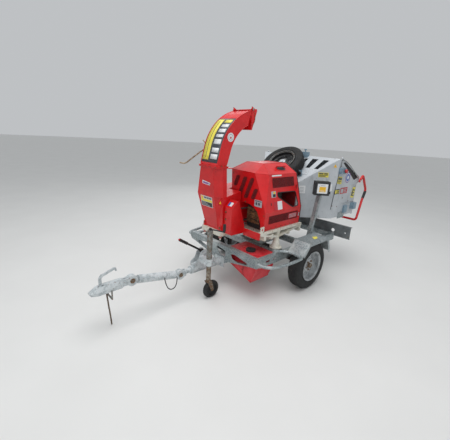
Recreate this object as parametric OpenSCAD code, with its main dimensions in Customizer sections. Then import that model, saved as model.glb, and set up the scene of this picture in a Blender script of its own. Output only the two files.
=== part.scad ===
// Towed wood chipper on a single-axle trailer.
// +Z is up, +X is the trailer's left side and -Y is the towing direction.
// The origin is on the ground, under the middle of the whole machine.

/* [Running gear] */
// Outer diameter of the road tyres
tyre_d = 580; // [480:10:700]
// Width of the road tyres
tyre_w = 165; // [130:5:205]
// Diameter of the wheel rims at the tyre bead
rim_d = 352; // [300:2:380]
// Half of the chassis width, over the rails
frame_half_w = 575; // [480:5:690]
// Depth of the side rails
rail_h = 100; // [70:5:130]

/* [Drawbar] */
// Distance from the axle to the coupling's nose
nose_reach = 2290; // [2200:10:2700]
// Diameter of the drawbar's middle tube
drawbar_d = 82; // [65:1:95]
// Diameter of the jockey wheel
jockey_wheel_d = 200; // [170:5:240]
// Outer diameter of the jockey tube
jockey_tube_d = 60; // [52:1:70]

/* [Chute] */
// Width of the discharge chute
chute_w = 282; // [220:2:340]
// Depth of the discharge chute
chute_t = 136; // [100:2:165]
// Outer radius of the chute's bend
chute_bend_r = 546; // [460:2:600]

/* [Chipping unit] */
// Diameter of the chipping rotor over its knives
rotor_d = 236; // [200:2:246]
// Diameter of the feed roller
roller_d = 170; // [140:2:200]
// Diameter of the rotor's belt pulley
rotor_pulley_d = 150; // [110:2:170]
// Diameter of the engine's belt pulley
engine_pulley_d = 120; // [90:2:150]

/* [Hood] */
// Length of the engine hood
hood_len = 675; // [600:5:680]
// Height of the hood's roof above its skirt
hood_rise = 705; // [600:5:800]
// Thickness of the hood's sheet
hood_wall = 4; // [2.5:0.5:6]

/* [Hopper] */
// Width of the hopper's mouth
mouth_w = 1220; // [1020:10:1460]
// Length of the hopper behind its shoulder
mouth_len = 610; // [510:10:730]
// Thickness of the hopper's sheet
hopper_wall = 4; // [3:0.5:6]
// Outer diameter of the control bar's tube
bar_d = 34; // [26:1:42]

/* [Hidden] */
$fn = 64;

// Running fit of a shaft in its bore, on the radius
run_fit = 0.05;
// The same for the two large turning joints
turn_fit = 0.09;
// Height of the hub that the levels below are written for
hub_rest = 290;
hub_z = tyre_d / 2;
ride_lift = hub_z - hub_rest;

// Control bar, in the hopper's side plane
bar_out = 1478 - 1200 + mouth_len;
axle_y = (nose_reach - (590 + bar_out + bar_d / 2)) / 2;

// Chassis
frame_z = 505;
beam_y = -800;
beam_t = 6;
beam_depth = 60;
rail_w = 50;
rail_x = frame_half_w - 10 - rail_w;
rail_z = frame_z - 10;
rail_front = beam_y + beam_depth;
rail_back = 860;
cross_d = 50;
wheel_gap = 29;
wheel_x = frame_half_w + wheel_gap + tyre_w / 2;
guard_d = 34;
mud_in = frame_half_w + 12;
mud_out = wheel_x + tyre_w / 2 + 28;
mud_t = 3;
mud_scale = tyre_d / 580;
mud_front = [-279, 205];
mud_knee = [-168, 331];
mud_back = [242, 331];
mud_tail = [326, 137];
guard_end_y = mud_scale * mud_front[0] - 6;
guard_end_z = hub_rest + mud_scale * mud_front[1] - 27;

// Overrun device and drawbar
hitch_z = 300;
shaft_d = 52;
housing_d = 92;
housing_front = -1235;
housing_back = -742;
clevis_y = -1373;
clevis_z = 292;
head_y = -1906;
head_z = 398;
joint_r = 52;
joint_t = 18;
bolt_r = 11;
bar_run = [0, head_y - clevis_y, head_z - clevis_z];
bar_dir = unit(bar_run);

// Wire rope that pulls the brake on if the coupling lets go
cable_r = 7;
cable_route = [
    [0, -2140, 361.5], [0, -2139, 340], [0, -2137, 300], [0, -2133, 250], [0, -2129, 200],
    [0, -2124, 150], [0, -2120, 100], [0, -2117, 60], [0, -2115, 24], [0, -2114, 8]
];

// Lighting cable: from the drawbar, down in a loop and up to the rear joint
loop_r = 5;
loop_route = [
    [50, -1580, 338], [50, -1580, 312], [54, -1574, 280], [58, -1563, 240], [60, -1545, 208],
    [62, -1522, 191], [62, -1500, 187], [62, -1478, 193], [60, -1458, 212], [57, -1444, 245],
    [50, -1436, 274], [50, -1436, 300]
];

// Jockey wheel
jockey_x = 180;
jockey_y = -1120;
jockey_top = 792;
jockey_low = 383;
jockey_trail = 40;
jockey_wall = 4;
jockey_wheel_w = 46;
jockey_r = jockey_tube_d / 2;
inner_r = jockey_r - jockey_wall;
wheel_z = jockey_wheel_d / 2 - ride_lift;

// Brake lever
brake_y = -1073;
brake_z = 487;
brake_x = -12;
brake_rise = 33;
lever_dir = [0, -cos(brake_rise), sin(brake_rise)];
lever_l = 350;
lever_pivot = [brake_x, brake_y, brake_z];

// Turntable
slew_y = -100;
slew_r = 230;
slew_low = frame_z - 10;
slew_high = 545;
deck_z = 640;
deck_top = 700;
truss_x = 415;

// Feed axis and chipping unit
unit_l = -288;
unit_r = 84;
rotor_y = -735;
rotor_z = 878;
shaft_r = 22;
pulley_x0 = 112;
pulley_w = 54;
engine_y = -400;
cover_x0 = 90;
cover_x1 = 205;
channel_back = 229;
roller_y = -430;
roller_z = 872;
roller_l = 340;
casing_r = rotor_d / 2 + 4;
duct_rear = -820;

// Chute
chute_x = -85;
chute_y = -885;
chute_z = 1432;
chute_wall = 4;
flange_z = 1400;
spigot_r = 52;
chute_x0 = chute_x - chute_w / 2;
chute_low = flange_z + 12.3;
chute_front = -956;
// Straight run below the bend, and the bend from its lower to its upper angle
chute_run = 187;
bend_in = 75.5;
bend_out = 13.2;
bend_y = chute_front + chute_run * cos(bend_in) + chute_bend_r * sin(bend_in);
bend_z = chute_z + chute_run * sin(bend_in) - chute_bend_r * cos(bend_in);
// Route of the bar that turns the chute
handle_route = [
    [chute_x0 - 7, -897, 1582], [-300, -906, 1548], [-470, -975, 1412], [-506, -985, 1398],
    [-570, -1000, 1402]
];

// Hood
skirt_z = 745;
hood_front = -575;
hood_back = hood_front + hood_len;
hood_l = -111;
hood_r = 444;
hinge_x = -124;
hinge_z = 1190;
hinge_y = [hood_front + 60, hood_back - 130];
belt_z = 950;
eave_x = 350;
eave_z = skirt_z + hood_rise - 100;
ridge_x = 175;
ridge_z = skirt_z + hood_rise;

// Hopper
throat_x = 286;
throat_y = 229;
throat_low = 755;
throat_top = 1216;
shoulder_y = 590;
shoulder_z = 1530;
mouth_x = mouth_w / 2;
mouth_back = shoulder_y + mouth_len;
mouth_tip = shoulder_y + mouth_len * 0.86;
roof_angle = atan2(shoulder_z - throat_top, shoulder_y - throat_y);
bar_x = mouth_x + 30;

// Pivots of the control bar, at the hopper's rear upper corners
pivot_y = mouth_back + 12;
pivot_z = 1222;

// Hinge of the feed table
table_y = mouth_back + 4;
table_z = throat_low - 4;

// Spare wheel, lying on the hopper's roof
spare_d = 572;
spare_w = 150;
spare_x = -60;
spare_run = 200;
spare_gap = 8;

// Document box beside the hopper
box_c = [frame_half_w + 22, 248, 1190];

// ---------------------------------------------------------------- helpers

// Puts a piece that is drawn from the axle into the machine's own frame
module at_axle() translate([0, axle_y, ride_lift]) children();

// Flat plate in the XZ plane, from y0 towards +Y
module plate_xz(points, y0, t)
    translate([0, y0 + t, 0]) rotate([90, 0, 0]) linear_extrude(t) polygon(points);

// Flat plate in the YZ plane, from x0 towards +X
module plate_yz(points, x0, t)
    translate([x0, 0, 0]) rotate([90, 0, 90]) linear_extrude(t) polygon(points);

// Box between two opposite corners
module block(a, b)
    translate([min(a[0], b[0]), min(a[1], b[1]), min(a[2], b[2])])
        cube([abs(b[0] - a[0]), abs(b[1] - a[1]), abs(b[2] - a[2])]);

// Round bar along X, Y or between two points
module rod_x(x0, x1, y, z, r)
    translate([x0, y, z]) rotate([0, 90, 0]) cylinder(h = x1 - x0, r = r);
module rod_y(y0, y1, x, z, r)
    translate([x, y0, z]) rotate([-90, 0, 0]) cylinder(h = y1 - y0, r = r);
module rod(a, b, r) {
    d = b - a;
    translate(a)
        rotate([0, atan2(norm([d[0], d[1]]), d[2]), atan2(d[1], d[0])])
            cylinder(h = norm(d), r = r);
}

function unit(v) = v / norm(v);

// Normal of a flat outline that is given by its corners
function normal(p) = unit(cross(p[1] - p[0], p[2] - p[0]));

// Sheet panel: a flat outline in space, thickened along its normal
module panel(p, t) {
    n = len(p);
    back = [for (q = p) q + t * normal(p)];
    polyhedron(
        points = concat(p, back),
        faces = concat(
            [[for (i = [0 : n - 1]) i]],
            [[for (i = [n - 1 : -1 : 0]) n + i]],
            [for (i = [0 : n - 1]) [i, n + i, n + (i + 1) % n, (i + 1) % n]]
        )
    );
}

// Solid through a stack of outlines with equal numbers of corners, lowest first
module loft(rings) {
    m = len(rings);
    n = len(rings[0]);
    polyhedron(
        points = [for (ring = rings) for (p = ring) p],
        faces = concat(
            [[for (i = [0 : n - 1]) i]],
            [[for (i = [n - 1 : -1 : 0]) (m - 1) * n + i]],
            [for (k = [0 : m - 2]) for (i = [0 : n - 1])
                let (a = k * n + i, b = k * n + (i + 1) % n) each [[a, a + n, b + n], [a, b + n, b]]]
        )
    );
}

// Route with its corners rounded by short curves of n steps
function curve(a, b, c, n) = [for (i = [0 : n]) let (t = i / n)
    (1 - t) * (1 - t) * a + 2 * t * (1 - t) * b + t * t * c];
function bend(p, r, n = 5) = [for (q = concat(
    [[p[0]]],
    [for (i = [1 : len(p) - 2])
        curve(p[i] + r * unit(p[i - 1] - p[i]), p[i], p[i] + r * unit(p[i + 1] - p[i]), n)],
    [[p[len(p) - 1]]]
)) each q];

// Direction of a route at point i
function heading(p, i) = unit(
    (i < len(p) - 1 ? unit(p[i + 1] - p[i]) : [0, 0, 0])
    + (i > 0 ? unit(p[i] - p[i - 1]) : [0, 0, 0])
);

// Bar or cord of round section that follows a route; side is never along it
module swept(p, r, sides = 12, side = [1, 0, 0]) {
    n = len(p);
    rings = [for (i = [0 : n - 1])
        let (t = heading(p, i), u = unit(cross(t, side)), v = cross(t, u))
        [for (k = [0 : sides - 1]) p[i] + r * (cos(360 * k / sides) * u + sin(360 * k / sides) * v)]
    ];
    polyhedron(
        points = [for (ring = rings) for (q = ring) q],
        faces = concat(
            [[for (k = [0 : sides - 1]) k]],
            [[for (k = [sides - 1 : -1 : 0]) (n - 1) * sides + k]],
            [for (i = [0 : n - 2]) for (k = [0 : sides - 1]) [
                i * sides + k, (i + 1) * sides + k,
                (i + 1) * sides + (k + 1) % sides, i * sides + (k + 1) % sides
            ]]
        )
    );
}

// ---------------------------------------------------------------- chassis

// Outline of the front beam, drawn in by i on every side
function beam_outline(i) = [
    [-frame_half_w + i, frame_z - i], [frame_half_w - i, frame_z - i],
    [frame_half_w - i, frame_z - 95 + i], [frame_half_w - 90, frame_z - 108 + i],
    [150, frame_z - 175 + i], [62, frame_z - 226 + i],
    [-62, frame_z - 226 + i], [-150, frame_z - 175 + i],
    [-frame_half_w + 90, frame_z - 108 + i], [-frame_half_w + i, frame_z - 95 + i]
];

// Rounded hole through the beam's web, in its own plane
module web_hole(corners, r)
    translate([0, beam_y + beam_t + 1, 0]) rotate([90, 0, 0]) linear_extrude(beam_t + 2)
        hull() for (c = corners) translate(c) circle(r, $fn = 32);

module front_beam() at_axle() color("lightslategray") {
    difference() {
        plate_xz(beam_outline(0), beam_y, beam_depth);
        plate_xz(beam_outline(beam_t), beam_y + beam_t, beam_depth);
        web_hole([[-45, 452], [70, 432], [70, 392], [5, 392]], 18);
        for (s = [-1, 1])
            web_hole([
                [s * 195, 432], [s * 215, 402], [s * 290, 390],
                [s * (frame_half_w - 155), 410], [s * 240, 440]
            ], 14);
        // Seat of the overrun housing
        rod_y(beam_y - 1, beam_y + beam_depth + 1, 0, hitch_z, housing_d / 2);
    }
}

// One side rail: a channel that opens inwards, with slots in its web
module rail(s) {
    x0 = s * (rail_x + rail_w);
    difference() {
        block([s * rail_x, rail_front, rail_z - rail_h], [x0, rail_back, rail_z]);
        block(
            [s * (rail_x - 1), rail_front - 1, rail_z - rail_h + beam_t],
            [s * (rail_x + rail_w - beam_t), rail_back + 1, rail_z - beam_t]
        );
        for (y = [-640, -520])
            block([s * (rail_x + rail_w - 9), y, rail_z - 62], [x0 + s, y + 70, rail_z - 38]);
    }
}

module chassis_rails() at_axle() color("lightslategray") {
    for (s = [-1, 1]) rail(s);
    for (y = [-420, 130, rail_back - cross_d])
        block([-rail_x, y, rail_z - 70], [rail_x, y + cross_d, rail_z]);
    // Pin of the slewing lock's lever
    translate([rail_x + 25, -470, rail_z - 6]) cylinder(h = 54, r = 8);
    // Two bearers carry the turntable between the cross members
    for (x = [-160, 110])
        block([x, -420 + cross_d, rail_z - 60], [x + cross_d, 130, rail_z]);
}

module axle_beam() at_axle() color("dimgray") {
    arm_x = frame_half_w - 5;
    arm_t = 18;
    block([-arm_x, -145, rail_z - rail_h - 65], [arm_x, -75, rail_z - rail_h]);
    for (s = [-1, 1]) {
        plate_yz(
            [[-150, 300], [-80, 268], [0, 262], [30, 290], [0, 318], [-75, 365], [-150, 365]],
            s > 0 ? arm_x : -arm_x - arm_t, arm_t
        );
        rod_x(
            s > 0 ? arm_x + arm_t : -wheel_x - 30,
            s > 0 ? wheel_x + 30 : -arm_x - arm_t,
            0, hub_rest, shaft_r
        );
        // Jacking plate ahead of the wheel
        block([s * (arm_x - 30), -145, 175], [s * arm_x, -85, 300]);
    }
}

// Folded guard over one wheel, with an outer flange and a bracket to the rail
module mudguard(s) {
    path = [for (q = [mud_front, mud_knee, mud_back, mud_tail]) mud_scale * q + [0, hub_rest]];
    function inset(t) = [
        path[0] + [t * 0.75, -t * 0.66], path[1] + [t * 0.4, -t],
        path[2] + [-t * 0.66, -t], path[3] + [-t * 0.92, -t * 0.4]
    ];
    lower = inset(mud_t);
    flange = inset(36);
    plate_yz(concat(path, [for (i = [3 : -1 : 0]) lower[i]]),
        s > 0 ? mud_in : -mud_out, mud_out - mud_in);
    plate_yz(concat(path, [for (i = [3 : -1 : 0]) flange[i]]),
        s > 0 ? mud_out - mud_t : -mud_out, mud_t);
    for (y = [-150, 238])
        plate_xz([
            [s * (rail_x + rail_w), rail_z - 30], [s * mud_in, rail_z - 30],
            [s * mud_in, path[1][1] - 12], [s * (mud_in + 40), path[1][1] - 12],
            [s * (mud_in + 40), path[1][1] - mud_t + 0.5],
            [s * (rail_x + rail_w), path[1][1] - mud_t + 0.5]
        ], y, 35);
}

module mudguard_left() at_axle() color("lightslategray") mudguard(1);
module mudguard_right() at_axle() color("lightslategray") mudguard(-1);

// Bent tube from the corner of the front beam out to the mudguard
module guard_tube(s) {
    w = frame_half_w;
    r = guard_d / 2;
    route = [for (q = [
        [w + 5, -790, 462], [w + 85, -772, 455], [w + 145, -685, 449], [w + 172, -555, 449],
        [w + 194, -400, 458], [w + 204, guard_end_y, guard_end_z]
    ]) [s * q[0], q[1], q[2]]];
    swept(bend(route, 35), r, side = [0, 0, 1]);
    // Foot plate on the beam and tab on the mudguard's front edge
    block([s * w, -808, 430], [s * (w + 6), -760, 494]);
    block(
        [s * (w + 194), guard_end_y - 18, guard_end_z + 8],
        [s * (w + 214), guard_end_y + 26, guard_end_z + 25]
    );
}

module guard_tubes() at_axle() color("lightslategray") for (s = [-1, 1]) guard_tube(s);

module overrun_housing() at_axle() color("silver") difference() {
    union() {
        rod_y(housing_front, beam_y, 0, hitch_z, housing_d / 2);
        rod_y(beam_y, housing_back, 0, hitch_z, housing_d / 2 - 0.5);
        // Bolting flange on the front beam
        block([-75, beam_y - 12, hitch_z - 62], [75, beam_y, hitch_z + 62]);
        // Saddle under the brake bracket
        block([-38, -1205, hitch_z], [38, -905, hitch_z + 62]);
    }
    rod_y(housing_front - 1, housing_back - 8, 0, hitch_z, shaft_d / 2 + run_fit);
}

// Arched bracket that carries the brake lever, on the overrun housing
module brake_bracket() at_axle() color("silver") {
    base = hitch_z + 62;
    for (x = [-38, 32])
        plate_yz([
            [-1205, base], [-905, base], [-905, base + 18], [-1010, base + 40],
            [brake_y + 38, brake_z + 18], [brake_y, brake_z + 34], [brake_y - 50, brake_z + 6],
            [-1150, base + 60], [-1205, base + 24]
        ], x, 6);
    block([-32, -1190, base], [32, -920, base + 6]);
    rod_x(-32, 32, brake_y, brake_z, 8);
}

module jockey_clamp() at_axle() color("silver") {
    z0 = 395;
    z1 = 470;
    r = jockey_tube_d / 2;
    difference() {
        union() {
            translate([jockey_x, jockey_y, z0]) cylinder(h = z1 - z0, r = r + 9);
            block([38, jockey_y - 22, z0], [jockey_x - r, jockey_y + 22, z1 - 10]);
        }
        translate([jockey_x, jockey_y, z0 - 1]) cylinder(h = z1 - z0 + 2, r = r + run_fit);
    }
    // Clamp screw with its tommy bar
    rod([jockey_x, jockey_y - r - 3, 432], [jockey_x, jockey_y - r - 52, 432], 8);
    rod([jockey_x - 42, jockey_y - r - 46, 432], [jockey_x + 42, jockey_y - r - 46, 432], 5);
}

module fuel_tank() at_axle() color("crimson") {
    x1 = frame_half_w - 65;
    difference() {
        union() {
            plate_xz([
                [70, 486], [x1, 486], [x1, 330], [x1 - 62, 172], [x1 - 150, 205], [70, 300]
            ], beam_y + beam_depth + 8, 300);
            translate([335, -640, 486]) cylinder(h = 14, r = 62);
            translate([215, -600, 486]) cylinder(h = 16, r = 26);
        }
        // Filler neck's bore
        translate([335, -640, 440]) cylinder(h = 80, r = 40);
    }
    // Strap round the tank and its hanger on the side rail
    block([x1, -640, 380], [rail_x, -600, 400]);
}

module tank_cap() at_axle() color("black") translate([335, -640, 0]) {
    translate([0, 0, 500.3]) cylinder(h = 22, r = 56);
    translate([0, 0, 462]) cylinder(h = 38.5, r = 40 - run_fit);
    block([-46, -6, 522], [46, 6, 530]);
}

module light_board() at_axle() color("gray") {
    w = mud_out - 17;
    z0 = 445;
    difference() {
        block([-w, rail_back + 18, z0], [w, rail_back + 22, z0 + 172]);
        for (s = [-1, 1]) for (x = [w - 250, w - 70])
            rod_y(rail_back, rail_back + 40, s * x, z0 + 78, x > w - 100 ? 9 : 24);
    }
    block([-w, rail_back + 22, z0 + 168], [w, rail_back + 58, z0 + 172]);
    block([-w, rail_back + 22, z0], [w, rail_back + 40, z0 + 4]);
    for (s = [-1, 1])
        block([s * (rail_x + 4), rail_back, z0 + 5], [s * (rail_x + 44), rail_back + 18, rail_z - 4]);
}

function post_ring(c, z, i) = [
    [c[0] - 25 + i, c[1] - 20 + i, z], [c[0] + 25 - i, c[1] - 20 + i, z],
    [c[0] + 25 - i, c[1] + 20 + i, z], [c[0] - 25 + i, c[1] + 20 + i, z]
];

// Leaning channel from the side rail up to the document box
module box_post() at_axle() color("lightslategray") {
    a = [rail_x + 22, 205];
    b = [rail_x + 72, 248];
    z1 = 1108;
    difference() {
        loft([post_ring(a, rail_z, 0), post_ring(b, z1, 0)]);
        loft([post_ring(a, rail_z - 1, 5), post_ring(b, z1 + 1, 5)]);
    }
}

module at_box() translate(box_c) rotate([0, 0, 45]) children();

module document_box() at_axle() at_box() color("dimgray") {
    difference() {
        block([-88, -40, -82], [88, 40, 82]);
        block([-84, -41, -78], [84, 36, 78]);
    }
    // Ear for the padlock and pad that sits on the post
    block([88, -38, -62], [104, -34, -34]);
}

module box_lid() at_axle() at_box() color("black") {
    block([-88, -52, -82], [88, -40.3, 82]);
    for (z = [-60, 40]) rod([-92, -46, z], [-92, -46, z + 20], 5);
    block([-92, -49, -60], [-88, -43, 60]);
}

module slew_base() at_axle() color("ivory") translate([0, slew_y, 0]) difference() {
    union() {
        translate([0, 0, slew_low]) cylinder(h = slew_high - slew_low, r = slew_r);
        translate([0, 0, slew_high]) cylinder(h = 40, r = 70);
    }
    translate([0, 0, slew_low - 1]) cylinder(h = slew_high - slew_low + 42, r = 40 + turn_fit);
    difference() {
        translate([0, 0, slew_low + 12]) cylinder(h = slew_high, r = slew_r - 30);
        translate([0, 0, slew_low]) cylinder(h = slew_high, r = 70);
    }
}

// ---------------------------------------------------------------- road wheels

// Half section of a tyre, from its bead to the tread
module tyre_section(d, w, bead) {
    r = d / 2;
    polygon([
        [bead / 2, -w * 0.36], [bead / 2 + 26, -w * 0.47], [r - 52, -w / 2], [r - 22, -w * 0.47],
        [r - 6, -w * 0.39], [r, -w * 0.25], [r, w * 0.25], [r - 6, w * 0.39],
        [r - 22, w * 0.47], [r - 52, w / 2], [bead / 2 + 26, w * 0.47], [bead / 2, w * 0.36],
        [bead / 2 + 14, w * 0.28], [r - 22, w * 0.36], [r - 16, 0], [r - 22, -w * 0.36],
        [bead / 2 + 14, -w * 0.28]
    ]);
}

module tyre(x, y, z, d, w, bead)
    translate([x, y, z]) rotate([0, 90, 0]) rotate_extrude() tyre_section(d, w, bead);

// Pressed steel rim, with its dish open towards +Z
module rim_shape(d, w, hub_r)
    difference() {
        rotate_extrude() polygon([
            [d / 2 - 0.3, -w * 0.36], [d / 2 + 9, -w * 0.45], [d / 2 + 9, -w * 0.48],
            [d / 2 - 6, -w * 0.42], [d / 2 - 7, -w * 0.2], [d / 2 - 34, -w * 0.1],
            [d / 2 - 34, w * 0.02], [86, 0.1 * w], [78, 0.16 * w], [hub_r, 0.16 * w],
            [hub_r, 0.2 * w], [80, 0.2 * w], [90, 0.14 * w], [d / 2 - 30, 0.06 * w],
            [d / 2 - 7, 0.12 * w], [d / 2 - 6, w * 0.42], [d / 2 + 9, w * 0.48],
            [d / 2 + 9, w * 0.45], [d / 2 - 0.3, w * 0.36]
        ]);
        for (k = [0 : 7]) rotate([0, 0, 45 * k])
            translate([108, 0, -w / 2]) cylinder(h = w, r = 10);
        for (k = [0 : 4]) rotate([0, 0, 72 * k])
            translate([56, 0, -w / 2]) cylinder(h = w, r = 7.5);
    }

// Rim of a road wheel; face is +1 where its dish opens towards +X
module rim(x, face, d, w, hub_r)
    translate([x, 0, hub_rest]) rotate([0, 90 * face, 0]) rim_shape(d, w, hub_r);

// Brake drum with its grease cap and five wheel bolts
module hub(x, face) translate([x, 0, hub_rest]) rotate([0, 90 * face, 0]) difference() {
    z1 = tyre_w * 0.16;
    union() {
        translate([0, 0, -52]) cylinder(h = 52 + z1 - 14, r = 100);
        translate([0, 0, z1 - 14]) cylinder(h = 13.7, r = 78);
        translate([0, 0, z1 - 1]) cylinder(h = 32, r = 31);
        for (k = [0 : 4]) rotate([0, 0, 72 * k]) {
            translate([56, 0, z1 - 1]) cylinder(h = 15, r = 6.5);
            translate([56, 0, z1 + 0.2 * tyre_w - 0.16 * tyre_w + 0.3])
                cylinder(h = 11, r = 11, $fn = 6);
        }
    }
    translate([0, 0, -53]) cylinder(h = 53 + 30.5, r = shaft_r + run_fit);
    translate([0, 0, -53]) cylinder(h = 40, r = 84);
}

module tyre_left() at_axle() color("black")
    tyre(wheel_x, 0, hub_rest, tyre_d, tyre_w, rim_d);
module rim_left() at_axle() color("silver") rim(wheel_x, 1, rim_d, tyre_w, 34);
module hub_left() at_axle() color("sienna") hub(wheel_x, 1);
module tyre_right() at_axle() color("black")
    tyre(-wheel_x, 0, hub_rest, tyre_d, tyre_w, rim_d);
module rim_right() at_axle() color("silver") rim(-wheel_x, -1, rim_d, tyre_w, 34);
module hub_right() at_axle() color("sienna") hub(-wheel_x, -1);

// ---------------------------------------------------------------- drawbar

// Toothed joint ear: a disc with a drop-shaped boss, in the plane of the hinge
module ear(x, y, z, t, r = joint_r) rod_x(x, x + t, y, z, r);

// Shaft that slides in the overrun housing, with the fork of the rear joint
module draw_shaft() at_axle() color("dimgray") difference() {
    union() {
        rod_y(clevis_y + 66, housing_back - 84, 0, hitch_z, shaft_d / 2);
        rod_y(clevis_y + 56, housing_front - 70, 0, hitch_z, shaft_d / 2 + 8);
        ear(-joint_t / 2 - joint_t - 0.4, clevis_y, clevis_z, joint_t);
        ear(joint_t / 2 + 0.4, clevis_y, clevis_z, joint_t);
        for (s = [-1, 1])
            block(
                [s * (joint_t / 2 + 0.4), clevis_y, clevis_z - 30],
                [s * (joint_t * 1.5 + 0.4), clevis_y + 70, clevis_z + 38]
            );
    }
    rod_x(-60, 60, clevis_y, clevis_z, bolt_r + run_fit);
}

// Middle tube of the drawbar, with a joint eye at each end
module drawbar_tube() at_axle() color("whitesmoke") {
    a = [0, clevis_y, clevis_z];
    b = [0, head_y, head_z];
    difference() {
        union() {
            ear(-joint_t / 2, clevis_y, clevis_z, joint_t);
            ear(-joint_t / 2, head_y, head_z, joint_t);
            rod(a + bar_dir * (joint_r + 12), b - bar_dir * (joint_r + 12), drawbar_d / 2);
            for (e = [a + bar_dir * 20, b - bar_dir * (joint_r + 40)])
                rod(e, e + bar_dir * (joint_r + 20), joint_t / 2 - 0.1);
            // Clips of the lighting cable
            block([30, -1588, 338], [58, -1572, 352]);
            block([30, -1444, 300], [58, -1428, 314]);
        }
        rod_x(-60, 60, clevis_y, clevis_z, bolt_r + run_fit);
        rod_x(-60, 60, head_y, head_z, bolt_r + run_fit);
    }
}

// Clamping bolts of the two joints, with their nuts and serrated washers
module drawbar_bolts() at_axle() color("sienna") {
    reach = joint_t * 1.5 + 0.8;
    for (c = [[clevis_y, clevis_z], [head_y, head_z]]) {
        rod_x(-reach - 14, reach + 14, c[0], c[1], bolt_r);
        for (x = [-reach - 5, reach + 0.3]) rod_x(x, x + 4.7, c[0], c[1], 24);
        for (x = [-reach - 17, reach + 5])
            translate([x, c[0], c[1]]) rotate([0, 90, 0]) cylinder(h = 12, r = 16, $fn = 6);
    }
}

// Ball coupling: a nosed body on a fork that takes the front joint
module coupling_head() at_axle() color("whitesmoke") {
    nose_y = -nose_reach;
    tail_y = head_y - 96;
    z = head_z;
    difference() {
        union() {
            loft([
                [[-26, nose_y + 16, z - 36], [26, nose_y + 16, z - 36], [50, nose_y + 66, z - 36],
                 [44, nose_y + 150, z - 36], [36, tail_y, z - 36], [-36, tail_y, z - 36],
                 [-44, nose_y + 150, z - 36], [-50, nose_y + 66, z - 36]],
                [[-22, nose_y, z - 14], [22, nose_y, z - 14], [50, nose_y + 56, z - 6],
                 [44, nose_y + 150, z], [38, tail_y, z + 6], [-38, tail_y, z + 6],
                 [-44, nose_y + 150, z], [-50, nose_y + 56, z - 6]],
                [[-10, nose_y + 22, z + 8], [10, nose_y + 22, z + 8], [32, nose_y + 70, z + 26],
                 [30, nose_y + 150, z + 34], [26, tail_y, z + 40], [-26, tail_y, z + 40],
                 [-30, nose_y + 150, z + 34], [-32, nose_y + 70, z + 26]]
            ]);
            ear(-joint_t / 2 - joint_t - 0.4, head_y, head_z, joint_t);
            ear(joint_t / 2 + 0.4, head_y, head_z, joint_t);
            for (s = [-1, 1])
                block(
                    [s * (joint_t / 2 + 0.4), tail_y - 14, z - 30],
                    [s * (joint_t * 1.5 + 0.4), head_y - 10, z + 34]
                );
            block([-joint_t, tail_y - 20, z - 28], [joint_t, tail_y + 18, z + 32]);
        }
        rod_x(-60, 60, head_y, head_z, bolt_r + run_fit);
        // Ball socket
        translate([0, nose_y + 62, z - 60]) cylinder(h = 44, r = 25.5);
        translate([0, nose_y + 62, z - 16]) sphere(r = 25.5);
        // Slot of the release handle
        block([-8.5, -2212, z - 4], [8.5, -2156, z + 60]);
        // Shackle's seat
        rod_x(-60, 60, -2110, z - 26, 6 + run_fit);
    }
    rod_x(-26, 26, -2184, z + 22, 5);
}

// Release handle of the coupling, hinged between its cheeks
module coupling_handle() at_axle() color("silver") {
    difference() {
        plate_yz([
            [-2200, 408], [-2168, 408], [-2176, 452], [-2176, 496], [-2162, 514],
            [-2056, 552], [-2052, 532], [-2040, 536], [-2046, 566], [-2068, 566],
            [-2178, 530], [-2200, 500]
        ], -8, 16);
        rod_x(-9, 9, -2184, head_z + 22, 5 + run_fit);
    }
}

// U-shaped eye under the coupling for the breakaway cable
module cable_shackle() at_axle() color("darkgray") {
    z = head_z - 26;
    rod_x(-54, 54, -2110, z, 6);
    for (x = [-52, 46])
        block([x, -2116, z - 78], [x + 6, -2104, z + 6]);
    block([-52, -2116, z - 84], [52, -2104, z - 74]);
}

module breakaway_cable() at_axle() color("dimgray") swept(cable_route, cable_r, 8);

// Lighting cable, between its two clips
module lighting_cable() at_axle() color("black") swept(loop_route, loop_r, 8);

// ---------------------------------------------------------------- brake and jockey

module brake_lever() at_axle() color("dimgray") difference() {
    union() {
        rod_x(brake_x - 5.7, brake_x + 16, brake_y, brake_z, 26);
        rod(lever_pivot + lever_dir * 20, lever_pivot + lever_dir * (lever_l - 110), 11);
        rod(lever_pivot + lever_dir * (lever_l - 112), lever_pivot + lever_dir * lever_l, 16);
    }
    rod_x(brake_x - 20, brake_x + 20, brake_y, brake_z, 8 + run_fit);
    rod(lever_pivot + lever_dir * (lever_l - 40), lever_pivot + lever_dir * (lever_l + 1),
        8 + run_fit);
}

module lever_button() at_axle() color("red")
    rod(lever_pivot + lever_dir * (lever_l - 28), lever_pivot + lever_dir * (lever_l + 14), 8);

module jockey_tube() at_axle() color("silver") translate([jockey_x, jockey_y, 0]) {
    difference() {
        translate([0, 0, jockey_low]) cylinder(h = jockey_top - jockey_low, r = jockey_r);
        translate([0, 0, jockey_low - 1])
            cylinder(h = jockey_top - jockey_low - 9, r = inner_r + run_fit);
        translate([0, 0, jockey_top - 20]) cylinder(h = 30, r = 9 + run_fit);
    }
}

module jockey_inner() at_axle() color("saddlebrown") translate([jockey_x, jockey_y, 0])
    difference() {
        translate([0, 0, wheel_z + 112]) cylinder(h = 560 - wheel_z, r = inner_r);
        translate([0, 0, wheel_z + 60]) cylinder(h = 90, r = 9 + run_fit);
        translate([0, 0, 420]) cylinder(h = 400, r = 14);
    }

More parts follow.
